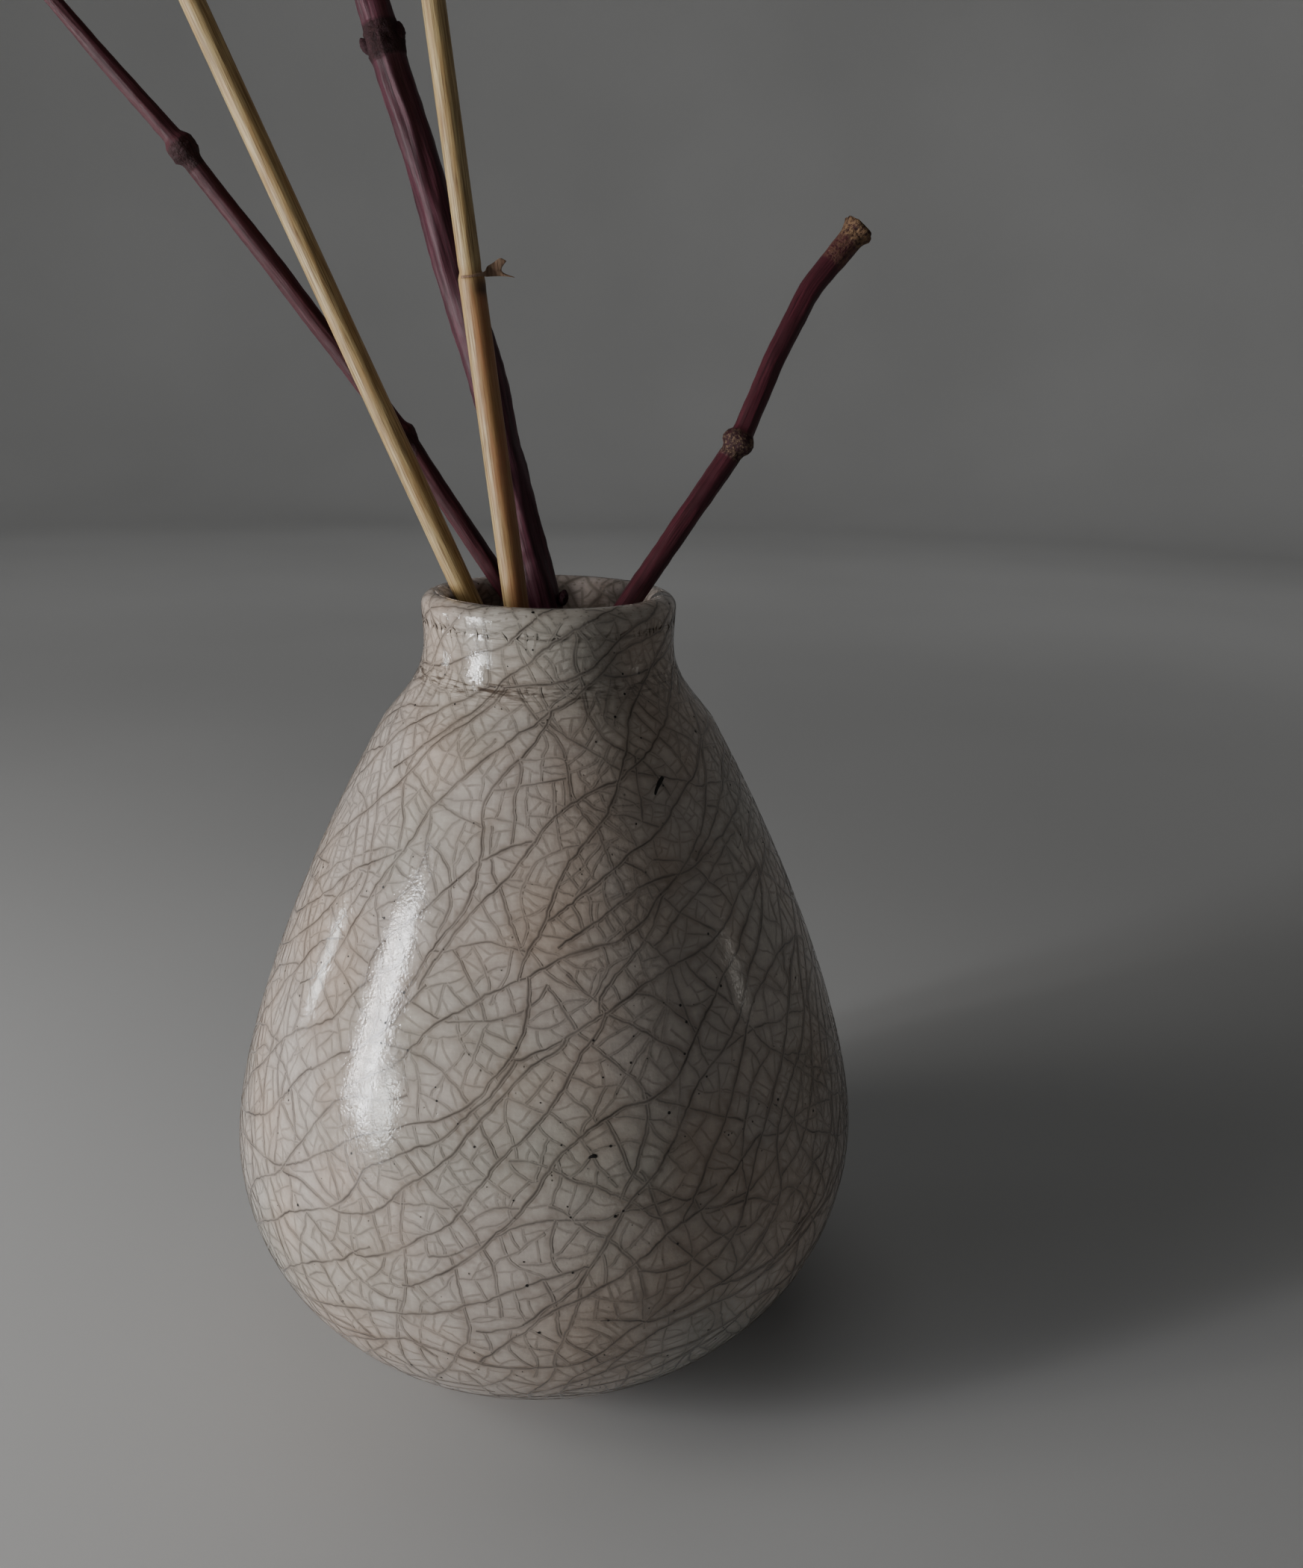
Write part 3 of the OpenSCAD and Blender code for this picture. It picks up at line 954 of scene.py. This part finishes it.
def twig(name, foot, corners, radii, knobs, ridges, seed):
    """A woody stem: ridged bark, knobs where buds grew, and a slight wander above the mouth."""
    path, along = path_through([foot] + corners, 0.55 * MM, 3 * MM)
    bends = [foot] + corners
    lengths = [(b - a).length for a, b in zip(bends, bends[1:])]
    at_bend = np.concatenate(([0], np.cumsum(lengths)))
    free = np.clip((path[:, 2] - LIP_PLANE - 8 * MM) / (25 * MM), 0, 1)
    free *= np.clip((along[-1] - along) / (12 * MM), 0, 1)
    for axis in (0, 1):
        wander = [noise.noise(Vector((t * 55, seed, axis * 9.7))) for t in along]
        path[:, axis] += np.array(wander) * 0.5 * MM * free
    depth, scale, wrinkle = ridges
    radii = np.array(radii) * MM

    def radius_at(t, angle):
        """The twig's radius, with its ridges, its creases and its scabby knobs."""
        radius = np.interp(t, at_bend, radii)
        bark = rough(angle, t, seed, scale, 14 * MM)
        crease = rough(angle, t, seed + 3, 0.9, 1.6 * MM)
        radius = radius * (0.96 + depth * (1 - 2.2 * np.abs(bark)) + wrinkle * crease)
        scab = rough(angle, t, seed + 6, 2.4, 0.7 * MM)
        for bend, size, half in knobs:
            place = at_bend[bend]
            swollen = np.exp(-((t - place) / (half * MM)) ** 4)
            grown = (size * MM - np.interp(place, at_bend, radii)) * 0.8
            radius += swollen * (grown + 0.34 * MM * scab)
        return radius

    piece = stick(name, path, along, TWIG_SIDES, radius_at)
    t = np.linalg.norm(vertices(piece)[:, None] - path[None, ::8], axis=2).argmin(axis=1) * 8
    place = along[np.minimum(t, len(along) - 1)]
    scabby = np.zeros(len(place))
    for bend, _, half in knobs:
        scabby = np.maximum(scabby, bump(place, at_bend[bend], half * 1.15 * MM))
    attribute(piece, "scabby", scabby)
    attribute(piece, "bare", np.clip((place - along[-1] + 7 * MM) / (6 * MM), 0, 1))
    return finish_mesh(piece)


def left_twig():
    """The thin twig that leans furthest to the left."""
    corners = upper(((-24, 10.7, 159.6), (-55.8, 9.9, 201.3), (-84.2, 9.2, 233.4)))
    foot = on_axis(TWIG_LEFT_AT, TWIG_LEFT_LEAN, 55 * MM)
    knobs = ((1, 2.1, 1.5), (2, 2.45, 1.6))
    return twig("left_twig_bark", foot, corners, (1.6, 1.6, 1.5, 0.85), knobs, (0.07, 1.6, 0.04), 4)


def centre_twig():
    """The thickest twig, with deep ridges and a pair of buds."""
    corners = upper(((-11.4, 5, 173.7), (-24.2, 4.6, 215.6), (-35, 4.2, 251.9)))
    foot = on_axis(TWIG_CENTRE_AT, TWIG_CENTRE_LEAN, 16 * MM)
    knobs = ((2, 2.85, 2),)
    return twig("centre_twig_bark", foot, corners, (3.1, 2.9, 2.4, 2.1), knobs, (0.12, 1.5, 0.035), 7)


def right_twig():
    """The twig that bends up to the right and ends in a flared, broken tip."""
    corners = upper(((30.5, 1.8, 160), (35.9, 4.6, 172.6), (41.8, 7.1, 184), (49.6, 9.2, 193.3)))
    foot = on_axis(TWIG_RIGHT_AT, TWIG_RIGHT_LEAN, 60 * MM)
    knobs = ((1, 2.85, 1.3), (4, 2.7, 1.3))
    radii = (1.85, 1.8, 1.75, 1.8, 2.1)
    return twig("right_twig_bark", foot, corners, radii, knobs, (0.06, 1.6, 0.04), 10)


def bud(name, place, ahead, length, width, seed):
    """A small pointed bud with overlapping scales."""
    piece = ball(name, 36, 26)
    ahead = ahead.normalized()
    side = ahead.cross(Vector((0, 1, 0))).normalized()
    front = ahead.cross(side)
    places, grain = [], []
    for x, y, z in vertices(piece):
        angle = math.atan2(y, x)
        point = 1 - 0.35 * max(0, z) ** 2
        step = (z * 2.4 + 0.5 * math.cos(angle * 2 + seed)) % 1
        wide = width / 2 * point * (0.9 + 0.14 * step)
        wide *= 1 + 0.05 * noise.noise(Vector((x * 3, y * 3, z * 3 + seed)))
        spot = place + side * x * wide + front * y * wide + ahead * (z + 0.8) * length / 1.8
        places.append(spot)
        grain.append((x, y, z * 0.3))
    move_vertices(piece, np.array(places))
    attribute(piece, "grain", np.array(grain))
    attribute(piece, "scabby", np.full(len(places), 0.55))
    attribute(piece, "bare", np.zeros(len(places)))
    return finish_mesh(piece)


def buds():
    """The pair of buds on the centre twig, and the one low down by the mouth."""
    node = Vector((-24.2, 4.6, 215.6)) * MM
    climb = Vector((-0.28, 0, 1)).normalized()
    left = node + Vector((-2.1, -0.3, -1.4)) * MM
    right = node + Vector((1.9, -0.3, 0.2)) * MM
    left_ahead = climb + Vector((-0.45, 0, 0))
    right_ahead = climb + Vector((0.35, 0, 0))
    low = on_axis(TWIG_CENTRE_AT, TWIG_CENTRE_LEAN, 133 * MM) + Vector((3.1, -1.2, 0)) * MM
    low_ahead = climb + Vector((0.5, -0.1, 0))
    return [
        bud("centre_twig_bud_left", left, left_ahead, 2.4 * MM, 1.6 * MM, 1),
        bud("centre_twig_bud_right", right, right_ahead, 2.8 * MM, 2.2 * MM, 2),
        bud("centre_twig_bud_low", low, low_ahead, 2.6 * MM, 1.9 * MM, 3),
    ]


# ---- materials: building blocks
def linear(red, green, blue):
    """A screen colour, 0 to 255, as the light values that a shader takes."""
    levels = []
    for level in (red, green, blue):
        v = level / 255
        levels.append(v / 12.92 if v <= 0.04045 else ((v + 0.055) / 1.055) ** 2.4)
    return (*levels, 1)


def connect(tree, socket, value):
    """Feeds an input from another node's output, or sets it."""
    if hasattr(value, "is_output"):
        tree.links.new(value, socket)
    else:
        socket.default_value = value


def add(tree, kind, settings=(), **inputs):
    """Adds a shader node; inputs are given by name with _ for a space."""
    made = tree.nodes.new("ShaderNode" + kind)
    for name, value in dict(settings).items():
        setattr(made, name, value)
    for name, value in inputs.items():
        connect(tree, made.inputs[name.replace("_", " ")], value)
    return made


def maths(tree, operation, a, b):
    """One Math node's result."""
    made = tree.nodes.new("ShaderNodeMath")
    made.operation = operation
    connect(tree, made.inputs[0], a)
    connect(tree, made.inputs[1], b)
    return made.outputs[0]


def times(tree, a, b):
    """Two values multiplied."""
    return maths(tree, "MULTIPLY", a, b)


def mixed(tree, factor, a, b):
    """Two colours mixed by a factor."""
    made = tree.nodes.new("ShaderNodeMix")
    made.data_type = "RGBA"
    for socket, value in zip((made.inputs[0], made.inputs[6], made.inputs[7]), (factor, a, b)):
        connect(tree, socket, value)
    return made.outputs[2]


def spread(tree, value, low, high, to_low=0.0, to_high=1.0):
    """A value's range low to high, stretched over another range and held inside it."""
    made = add(tree, "MapRange", {"clamp": True})
    for socket, number in zip(made.inputs[:5], (value, low, high, to_low, to_high)):
        connect(tree, socket, number)
    return made.outputs[0]


def noisy(tree, vector, scale, detail, roughness=0.5):
    """A noise texture's value."""
    made = add(tree, "TexNoise", Vector=vector, Scale=scale, Detail=detail, Roughness=roughness)
    return made.outputs[0]


def stretched(tree, vector, scale):
    """A vector scaled along each axis."""
    return add(tree, "Mapping", Vector=vector, Scale=scale).outputs[0]


def read(tree, name, output="Fac"):
    """An attribute of the mesh."""
    return add(tree, "Attribute", {"attribute_name": name}).outputs[output]


def in_place(tree):
    """A surface point's own place in the object."""
    return add(tree, "TexCoord").outputs["Object"]


def group_tree(name, inputs, outputs):
    """A node group with named sockets, and its input and output nodes."""
    tree = bpy.data.node_groups.new(name, "ShaderNodeTree")
    for label, kind, value in inputs:
        socket = tree.interface.new_socket(label, in_out="INPUT", socket_type="NodeSocket" + kind)
        socket.default_value = value
    for label, kind in outputs:
        tree.interface.new_socket(label, in_out="OUTPUT", socket_type="NodeSocket" + kind)
    return tree, tree.nodes.new("NodeGroupInput").outputs, tree.nodes.new("NodeGroupOutput").inputs


def use_group(tree, group, **inputs):
    """Places a group in a material with its own values."""
    made = tree.nodes.new("ShaderNodeGroup")
    made.node_tree = group
    for name, value in inputs.items():
        connect(tree, made.inputs[name.replace("_", " ")], value)
    return made.outputs


def bumped(tree, height, distance, strength=1.0, normal=None):
    """A bump from a height, on top of another normal if there is one."""
    made = add(tree, "Bump", Height=height, Distance=distance, Strength=strength)
    if normal:
        tree.links.new(normal, made.inputs["Normal"])
    return made.outputs[0]


def material(name):
    """A new material's tree and its Principled shader."""
    made = bpy.data.materials.new(name)
    made.use_nodes = True
    shader = next(n for n in made.node_tree.nodes if n.type == "BSDF_PRINCIPLED")
    return made, made.node_tree, shader


def surface(tree, shader, colour, roughness, normal):
    """Feeds a material's shader with what changes over its surface."""
    connect(tree, shader.inputs["Base Color"], colour)
    connect(tree, shader.inputs["Roughness"], roughness)
    connect(tree, shader.inputs["Normal"], normal)


def dress(piece, finish, body, slot, *nodes):
    """Gives a piece its material, attaches it to the body it moves with, and hides the imported parts
    it stands for, if any are given; slot is not used.
    """
    piece.data.materials.clear()
    piece.data.materials.append(finish)
    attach(piece, body)
    if nodes:
        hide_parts(*nodes)


# ---- materials: glaze and clay
CELL_MIDDLE = (0.62, 0.56, 0.51, 1)
GRIME = linear(78, 66, 56)
CRACK_INK = linear(46, 38, 34)
SPECK = (0.03, 0.022, 0.016, 1)


def mottle_group():
    """Soft patches and fine flecks of colour, as fired clay and glaze have."""
    tree, given, gives = group_tree("mottle", (
        ("Base", "Color", (0.5, 0.5, 0.5, 1)),
        ("Warm", "Color", (0.5, 0.4, 0.3, 1)),
        ("Cool", "Color", (0.4, 0.4, 0.4, 1)),
        ("Patch Scale", "Float", 40.0),
        ("Fleck Scale", "Float", 900.0),
    ), (("Color", "Color"), ("Grain", "Float")))
    place = in_place(tree)
    broad = noisy(tree, place, given["Patch Scale"], 3.0, 0.55)
    shifted = add(tree, "Mapping", Vector=place, Location=(3.1, 1.7, 5.3)).outputs[0]
    other = noisy(tree, shifted, 30.0, 2.0)
    fine = noisy(tree, place, given["Fleck Scale"], 2.0, 0.6)
    colour = mixed(tree, spread(tree, broad, 0.42, 0.62), given["Base"], given["Warm"])
    colour = mixed(tree, spread(tree, other, 0.5, 0.7, 0, 0.8), colour, given["Cool"])
    colour = mixed(tree, spread(tree, fine, 0.3, 0.7, 0, 0.16), colour, (0.1, 0.085, 0.07, 1))
    connect(tree, gives["Color"], colour)
    connect(tree, gives["Grain"], fine)
    return tree


def glaze(name, mottle, base, warm, cool, soak, roughness):
    """Crackled glaze: stained beside its cracks, paler in the middle of each cell."""
    made, tree, shader = material(name)
    colours = use_group(
        tree, mottle, Base=base, Warm=warm, Cool=cool, Patch_Scale=46.0, Fleck_Scale=1100.0)
    place = in_place(tree)
    middle = spread(tree, read(tree, "swell"), 0.1, 1.0, 0, 0.16)
    pale = mixed(tree, middle, colours["Color"], CELL_MIDDLE)
    blotch = noisy(tree, place, 190.0, 3.0, 0.6)
    stain = times(tree, read(tree, "stain"), spread(tree, blotch, 0.3, 0.7, 0.25, 0.85))
    stained = mixed(tree, stain, pale, soak)
    pits = add(tree, "TexVoronoi", Vector=place, Scale=520.0).outputs["Distance"]
    pitted = spread(tree, pits, 0.05, 0.1, 1, 0)
    sparse = spread(tree, noisy(tree, place, 130.0, 2.0), 0.52, 0.6)
    speck = times(tree, pitted, sparse)
    dust = noisy(tree, stretched(tree, place, (0.3, 0.3, 2.6)), 900.0, 3.0, 0.7)
    dirt = times(tree, read(tree, "grime"), spread(tree, dust, 0.48, 0.62))
    dirty = mixed(tree, dirt, stained, GRIME)
    uneven_ink = spread(tree, noisy(tree, place, 150.0, 2.0), 0.35, 0.65, 0.72, 1.0)
    inked = mixed(tree, times(tree, read(tree, "ink"), uneven_ink), dirty, CRACK_INK)
    colour = mixed(tree, times(tree, speck, 0.75), inked, SPECK)
    peel = noisy(tree, place, 620.0, 3.0, 0.55)
    dull = maths(tree, "ADD", spread(tree, peel, 0.3, 0.7, roughness - 0.05, roughness + 0.08),
                 times(tree, stain, 0.12))
    skin = bumped(tree, peel, 0.05 * MM, 0.6)
    skin = bumped(tree, noisy(tree, place, 2200.0, 2.0), 0.026 * MM, 0.8, skin)
    skin = bumped(tree, times(tree, speck, -1.0), 0.05 * MM, 1.0, skin)
    surface(tree, shader, colour, dull, skin)
    shader.inputs["IOR"].default_value = 1.5
    return made


def stoneware(mottle):
    """Bare fired clay: sandy, with dark iron specks."""
    made, tree, shader = material("sandy stoneware")
    colours = use_group(
        tree, mottle, Base=linear(150, 118, 90), Warm=linear(166, 124, 86),
        Cool=linear(134, 116, 98), Patch_Scale=60.0, Fleck_Scale=1600.0)
    place = in_place(tree)
    iron = add(tree, "TexVoronoi", Vector=place, Scale=650.0).outputs["Distance"]
    specks = spread(tree, iron, 0.08, 0.16, 0.8, 0)
    colour = mixed(tree, specks, colours["Color"], linear(52, 38, 30))
    sand = bumped(tree, colours["Grain"], 0.12 * MM, 0.8)
    sand = bumped(tree, noisy(tree, place, 350.0, 3.0), 0.1 * MM, 0.6, sand)
    surface(tree, shader, colour, spread(tree, colours["Grain"], 0.3, 0.7, 0.78, 0.95), sand)
    return made


def iron_spot():
    """Burnt iron: nearly black, slightly blistered."""
    made, tree, shader = material("burnt iron")
    place = in_place(tree)
    blister = noisy(tree, place, 2400.0, 3.0, 0.6)
    colour = mixed(tree, spread(tree, blister, 0.35, 0.65), linear(10, 8, 7), linear(30, 22, 18))
    dull = spread(tree, blister, 0.3, 0.7, 0.45, 0.7)
    surface(tree, shader, colour, dull, bumped(tree, blister, 0.03 * MM))
    return made


# ---- materials: dry stems
def fibre_group():
    """Streaks that run along a stem, from its own grain."""
    tree, given, gives = group_tree("lengthwise grain", (
        ("Base", "Color", (0.5, 0.4, 0.25, 1)),
        ("Streak", "Color", (0.3, 0.2, 0.1, 1)),
        ("Patch", "Color", (0.4, 0.3, 0.2, 1)),
        ("Fineness", "Float", 9.0),
        ("Amount", "Float", 0.6),
    ), (("Color", "Color"), ("Fibres", "Float"), ("Blotches", "Float")))
    grain = read(tree, "grain", "Vector")
    fine = noisy(tree, stretched(tree, grain, (1, 1, 0.16)), given["Fineness"], 4.0, 0.6)
    hair = noisy(tree, stretched(tree, grain, (3.2, 3.2, 0.2)), given["Fineness"], 3.0, 0.6)
    blotches = noisy(tree, stretched(tree, grain, (1, 1, 0.9)), 1.4, 4.0, 0.6)
    streak = times(tree, spread(tree, fine, 0.38, 0.66), given["Amount"])
    colour = mixed(tree, streak, given["Base"], given["Streak"])
    colour = mixed(tree, spread(tree, blotches, 0.45, 0.68, 0, 0.7), colour, given["Patch"])
    fibres = maths(tree, "ADD", fine, times(tree, hair, 0.5))
    connect(tree, gives["Color"], colour)
    connect(tree, gives["Fibres"], fibres)
    connect(tree, gives["Blotches"], blotches)
    return tree


def dry_reed(fibre):
    """Pale straw skin, browner below a node, with painted shade that keeps the browning to the reed's
    right side, and a faint gloss.
    """
    made, tree, shader = material("dry reed")
    skin = use_group(
        tree, fibre, Base=linear(190, 168, 122), Streak=linear(104, 74, 40),
        Patch=linear(168, 134, 86), Fineness=9.0, Amount=0.95)
    patches = spread(tree, skin["Blotches"], 0.35, 0.65)
    ruddy = mixed(tree, patches, linear(142, 100, 56), linear(154, 92, 62))
    # Browning below the node, held to the reed's right side as painted shade.
    browned_and_shaded = mixed(tree, times(tree, read(tree, "browning_and_shade"), 0.78), skin["Color"], ruddy)
    scarred = mixed(tree, times(tree, read(tree, "scar"), 0.9), browned_and_shaded, linear(48, 32, 20))
    dull = spread(tree, skin["Fibres"], 0.5, 1.0, 0.38, 0.58)
    surface(tree, shader, scarred, dull, bumped(tree, skin["Fibres"], 0.05 * MM, 0.8))
    return made


def dry_leaf(fibre):
    """A scrap of leaf sheath, papery and veined."""
    made, tree, shader = material("dry leaf")
    skin = use_group(
        tree, fibre, Base=linear(164, 136, 112), Streak=linear(84, 60, 44),
        Patch=linear(122, 92, 74), Fineness=6.0, Amount=0.8)
    dull = spread(tree, skin["Blotches"], 0.3, 0.7, 0.6, 0.85)
    surface(tree, shader, skin["Color"], dull, bumped(tree, skin["Fibres"], 0.06 * MM))
    return made


# Each bark's base, streak, patch and crust colours
BARKS = (
    ("maroon bark", ((84, 40, 48), (30, 12, 18), (58, 30, 34), (44, 32, 28))),
    ("scabby maroon bark", ((84, 36, 46), (30, 12, 18), (60, 30, 34), (140, 118, 96))),
    ("ridged bark", ((88, 46, 58), (28, 11, 18), (58, 32, 38), (62, 38, 40))),
)


def twig_bark(name, fibre, base, streak, patch, crusty):
    """Smooth maroon bark with a waxy bloom, scabby at the knobs and bare where it is broken."""
    made, tree, shader = material(name)
    skin = use_group(
        tree, fibre, Base=base, Streak=streak, Patch=patch, Fineness=7.0, Amount=0.8)
    grain = read(tree, "grain", "Vector")
    crust = noisy(tree, stretched(tree, grain, (2.4, 2.4, 14)), 1.6, 4.0, 0.65)
    scab = times(tree, read(tree, "scabby"), spread(tree, crust, 0.42, 0.58, 0.6, 1))
    brown = mixed(tree, spread(tree, crust, 0.46, 0.66), linear(24, 17, 14), crusty)
    colour = mixed(tree, scab, skin["Color"], brown)
    bare = times(tree, read(tree, "bare"), spread(tree, crust, 0.4, 0.56, 0.05, 1))
    wood = mixed(tree, spread(tree, skin["Fibres"], 0.5, 1.0), linear(158, 130, 98), linear(96, 62, 46))
    dull = maths(tree, "MAXIMUM", scab, bare)
    shader.inputs["Specular IOR Level"].default_value = 0.36
    relief = bumped(tree, skin["Fibres"], 0.08 * MM, 0.9)
    relief = bumped(tree, times(tree, crust, dull), 0.25 * MM, 0.9, relief)
    colour = mixed(tree, bare, colour, wood)
    surface(tree, shader, colour, spread(tree, dull, 0, 1, 0.5, 0.85), relief)
    return made


# ---- camera, floor and light
CAMERA_AT = Vector((0, -0.209, 0.1671))
LENS = 29.14
LOOK_DOWN = math.radians(17.07)
LOOK_RIGHT = math.radians(4.8)
CAMERA_ROLL = math.radians(1.4)
FLOOR_R = 1.5
FLOOR_CURVE = 0.5
WALL_H = 1.3
FLOOR_COLOURS = ((0.42, 0.42, 0.415, 1), (0.46, 0.46, 0.455, 1))
AIM_Z = 0.06
WASH_OUT = 0.8
WASH_Z = 0.95
WASH_SLOPE = -0.6


def set_camera():
    """The camera, close in front and a little above the mouth."""
    data = bpy.data.cameras.new("camera")
    data.lens = LENS
    data.clip_start = 0.01
    turn = Matrix.Rotation(-LOOK_RIGHT, 4, "Z")
    tilt = Matrix.Rotation(math.pi / 2 - LOOK_DOWN, 4, "X")
    roll = Matrix.Rotation(CAMERA_ROLL, 4, "Z")
    camera = bpy.data.objects.new("camera", data)
    camera.matrix_world = Matrix.Translation(CAMERA_AT) @ turn @ tilt @ roll
    bpy.context.collection.objects.link(camera)
    bpy.context.scene.camera = camera


def pale_floor():
    """A plain pale floor that curves up into a plain wall all round."""
    rise = arc((FLOOR_R, FLOOR_CURVE), (FLOOR_CURVE, FLOOR_CURVE), -90, 0, 24)
    wall_top = (FLOOR_R + FLOOR_CURVE, WALL_H)
    floor = thrown("floor", [(0.0, 0.0), (0.5, 0.0)] + rise + [wall_top], 96)
    made, tree, shader = material("pale floor")
    cloud = spread(tree, noisy(tree, in_place(tree), 3.0, 2.0), 0.3, 0.7)
    connect(tree, shader.inputs["Base Color"], mixed(tree, cloud, *FLOOR_COLOURS))
    shader.inputs["Roughness"].default_value = 0.75
    floor.data.materials.append(made)


def area_light(name, size, power, place, direction, axis, colour=(1, 1, 1), seen=False):
    """A rectangular light at a place, with one of its axes along a direction.

    The camera never sees it, and gloss only if seen is true.
    """
    data = bpy.data.lights.new(name, "AREA")
    data.shape = "RECTANGLE"
    data.size, data.size_y = size
    data.energy = power
    data.color = colour
    light = bpy.data.objects.new(name, data)
    light.location = place
    light.rotation_euler = direction.to_track_quat(axis, "Y").to_euler()
    light.visible_camera = False
    light.visible_glossy = seen
    bpy.context.collection.objects.link(light)


def softbox(name, azimuth, elevation, distance, size, power, colour=(1, 1, 1), seen=True):
    """A light that faces the object; azimuth runs from +Y towards +X, in degrees."""
    a, e = math.radians(azimuth), math.radians(elevation)
    out = Vector((math.sin(a) * math.cos(e), math.cos(a) * math.cos(e), math.sin(e)))
    place = Vector((0, 0, AIM_Z)) + out * distance
    area_light(name, size, power, place, out, "Z", colour, seen)


def wall_wash(azimuth):
    """A light that faces away from the object and brightens one side of the wall behind it."""
    a = math.radians(azimuth)
    out = Vector((math.sin(a), math.cos(a), WASH_SLOPE)).normalized()
    place = (math.sin(a) * WASH_OUT, math.cos(a) * WASH_OUT, WASH_Z)
    area_light("wall wash", (0.5, 0.5), 1.6, place, out, "-Z")


def set_lights():
    """A soft key on the left, window panes and thin strips for highlights, and a weak fill."""
    softbox("key", -106, 25, 0.75, (0.26, 0.46), 2.0, (1.0, 0.98, 0.96), seen=False)
    softbox("left pane", -114.5, 9, 0.52, (0.032, 0.24), 1.3, (0.97, 0.98, 1.0))
    softbox("right pane", -108.4, 8, 0.52, (0.018, 0.2), 0.75, (1.0, 0.97, 0.97))
    softbox("low pane", -122, 0, 0.52, (0.06, 0.07), 0.3, (0.97, 1.0, 0.99))
    softbox("thin strip", -77, 2, 0.6, (0.014, 0.1), 0.2, (0.96, 1.0, 1.0))
    softbox("right strip", 98, 8, 0.6, (0.02, 0.08), 0.014, (1.0, 0.96, 0.88))
    softbox("overhead fill", 0, 80, 1.1, (0.8, 0.8), 1.0, seen=False)
    for azimuth in range(0, 360, 45):
        wall_wash(azimuth)
    world = bpy.data.worlds.new("studio")
    world.use_nodes = True
    sky = world.node_tree.nodes["Background"]
    sky.inputs["Color"].default_value = (0.95, 0.98, 1.0, 1)
    sky.inputs["Strength"].default_value = 0.03
    bpy.context.scene.world = world


# ---- putting it together
def build_vase(mottle):
    """The vase's glaze, its crackle and its marks."""
    outer = Skin(outer_profile(), SKIN_GAP)
    liner = Skin(inner_profile(), SKIN_GAP)
    throat = [p for p in inner_profile() if p[1] > VASE_H - CRACKLED_THROAT]
    crackle = grow_crackle(Skin(outer_profile() + throat[1:], SKIN_GAP))
    outside = glaze("crackle glaze", mottle, linear(184, 174, 165), linear(184, 168, 154),
                    linear(164, 162, 152), linear(108, 94, 83), 0.085)
    # The liner's base, warm, cool and stain colours are painted paler than the outer glaze's: painted
    # light for the inside of the mouth, which the lamps leave dim.
    inside = glaze("liner glaze with painted light", mottle, linear(206, 193, 186), linear(198, 182, 168),
                   linear(188, 180, 172), linear(124, 106, 94), 0.16)
    dress(outer_coat(outer, crackle), outside, "vase", "crackle_glaze", "outer_glaze")
    dress(inner_coat(liner, crackle), inside, "vase", "liner_glaze", "inner_glaze")
    for level, kind in enumerate(LEVEL_NAMES[:LEVELS_MADE]):
        lines = crack_lines("crackle_lines_" + kind, crackle, level)
        dress(lines, outside, "vase", "crackle_glaze")
    burnt = iron_spot()
    dress(pinholes(crackle, 1500), burnt, "vase", "crackle_glaze")
    long_fleck = iron_fleck("iron_fleck_long", outer, -56.9, 110.3 * MM, 3.5 * MM, 1 * MM, 46)
    small_fleck = iron_fleck("iron_fleck_small", outer, -83.1, 62.3 * MM, 1.3 * MM, 0.8 * MM, 10)
    dress(long_fleck, burnt, "vase", "crackle_glaze")
    dress(small_fleck, burnt, "vase", "crackle_glaze")
    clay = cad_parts["vase_body"]
    clay.data.materials.clear()
    clay.data.materials.append(stoneware(mottle))


def build_stems(fibre):
    """The two reeds and the three twigs that stand loose in the mouth."""
    straw = dry_reed(fibre)
    left = reed("left_reed_stem", REED_LEFT_AT, REED_LEFT_LEAN, REED_LEFT_ENDS, None, 1)
    centre = reed(
        "centre_reed_stem", REED_CENTRE_AT, REED_CENTRE_LEAN, REED_CENTRE_ENDS, REED_NODE_Z, 2)
    dress(left, straw, "left_reed", "dry_reed", "reed_left")
    dress(centre, straw, "centre_reed", "dry_reed", "reed_centre")
    dress(leaf_scrap(), dry_leaf(fibre), "centre_reed", "dry_leaf", "reed_sheath")
    maroon, scabbed, mauve = (
        twig_bark(name, fibre, *(linear(*colour) for colour in colours)) for name, colours in BARKS)
    dress(left_twig(), maroon, "left_twig", "twig_bark", "twig_left")
    dress(right_twig(), scabbed, "right_twig", "twig_bark", "twig_right")
    dress(centre_twig(), mauve, "centre_twig", "twig_bark", "twig_centre")
    for piece in buds():
        dress(piece, mauve, "centre_twig", "twig_bark")


mottled = mottle_group()
build_vase(mottled)
build_stems(fibre_group())
set_camera()
pale_floor()
set_lights()
bpy.context.view_layer.update()
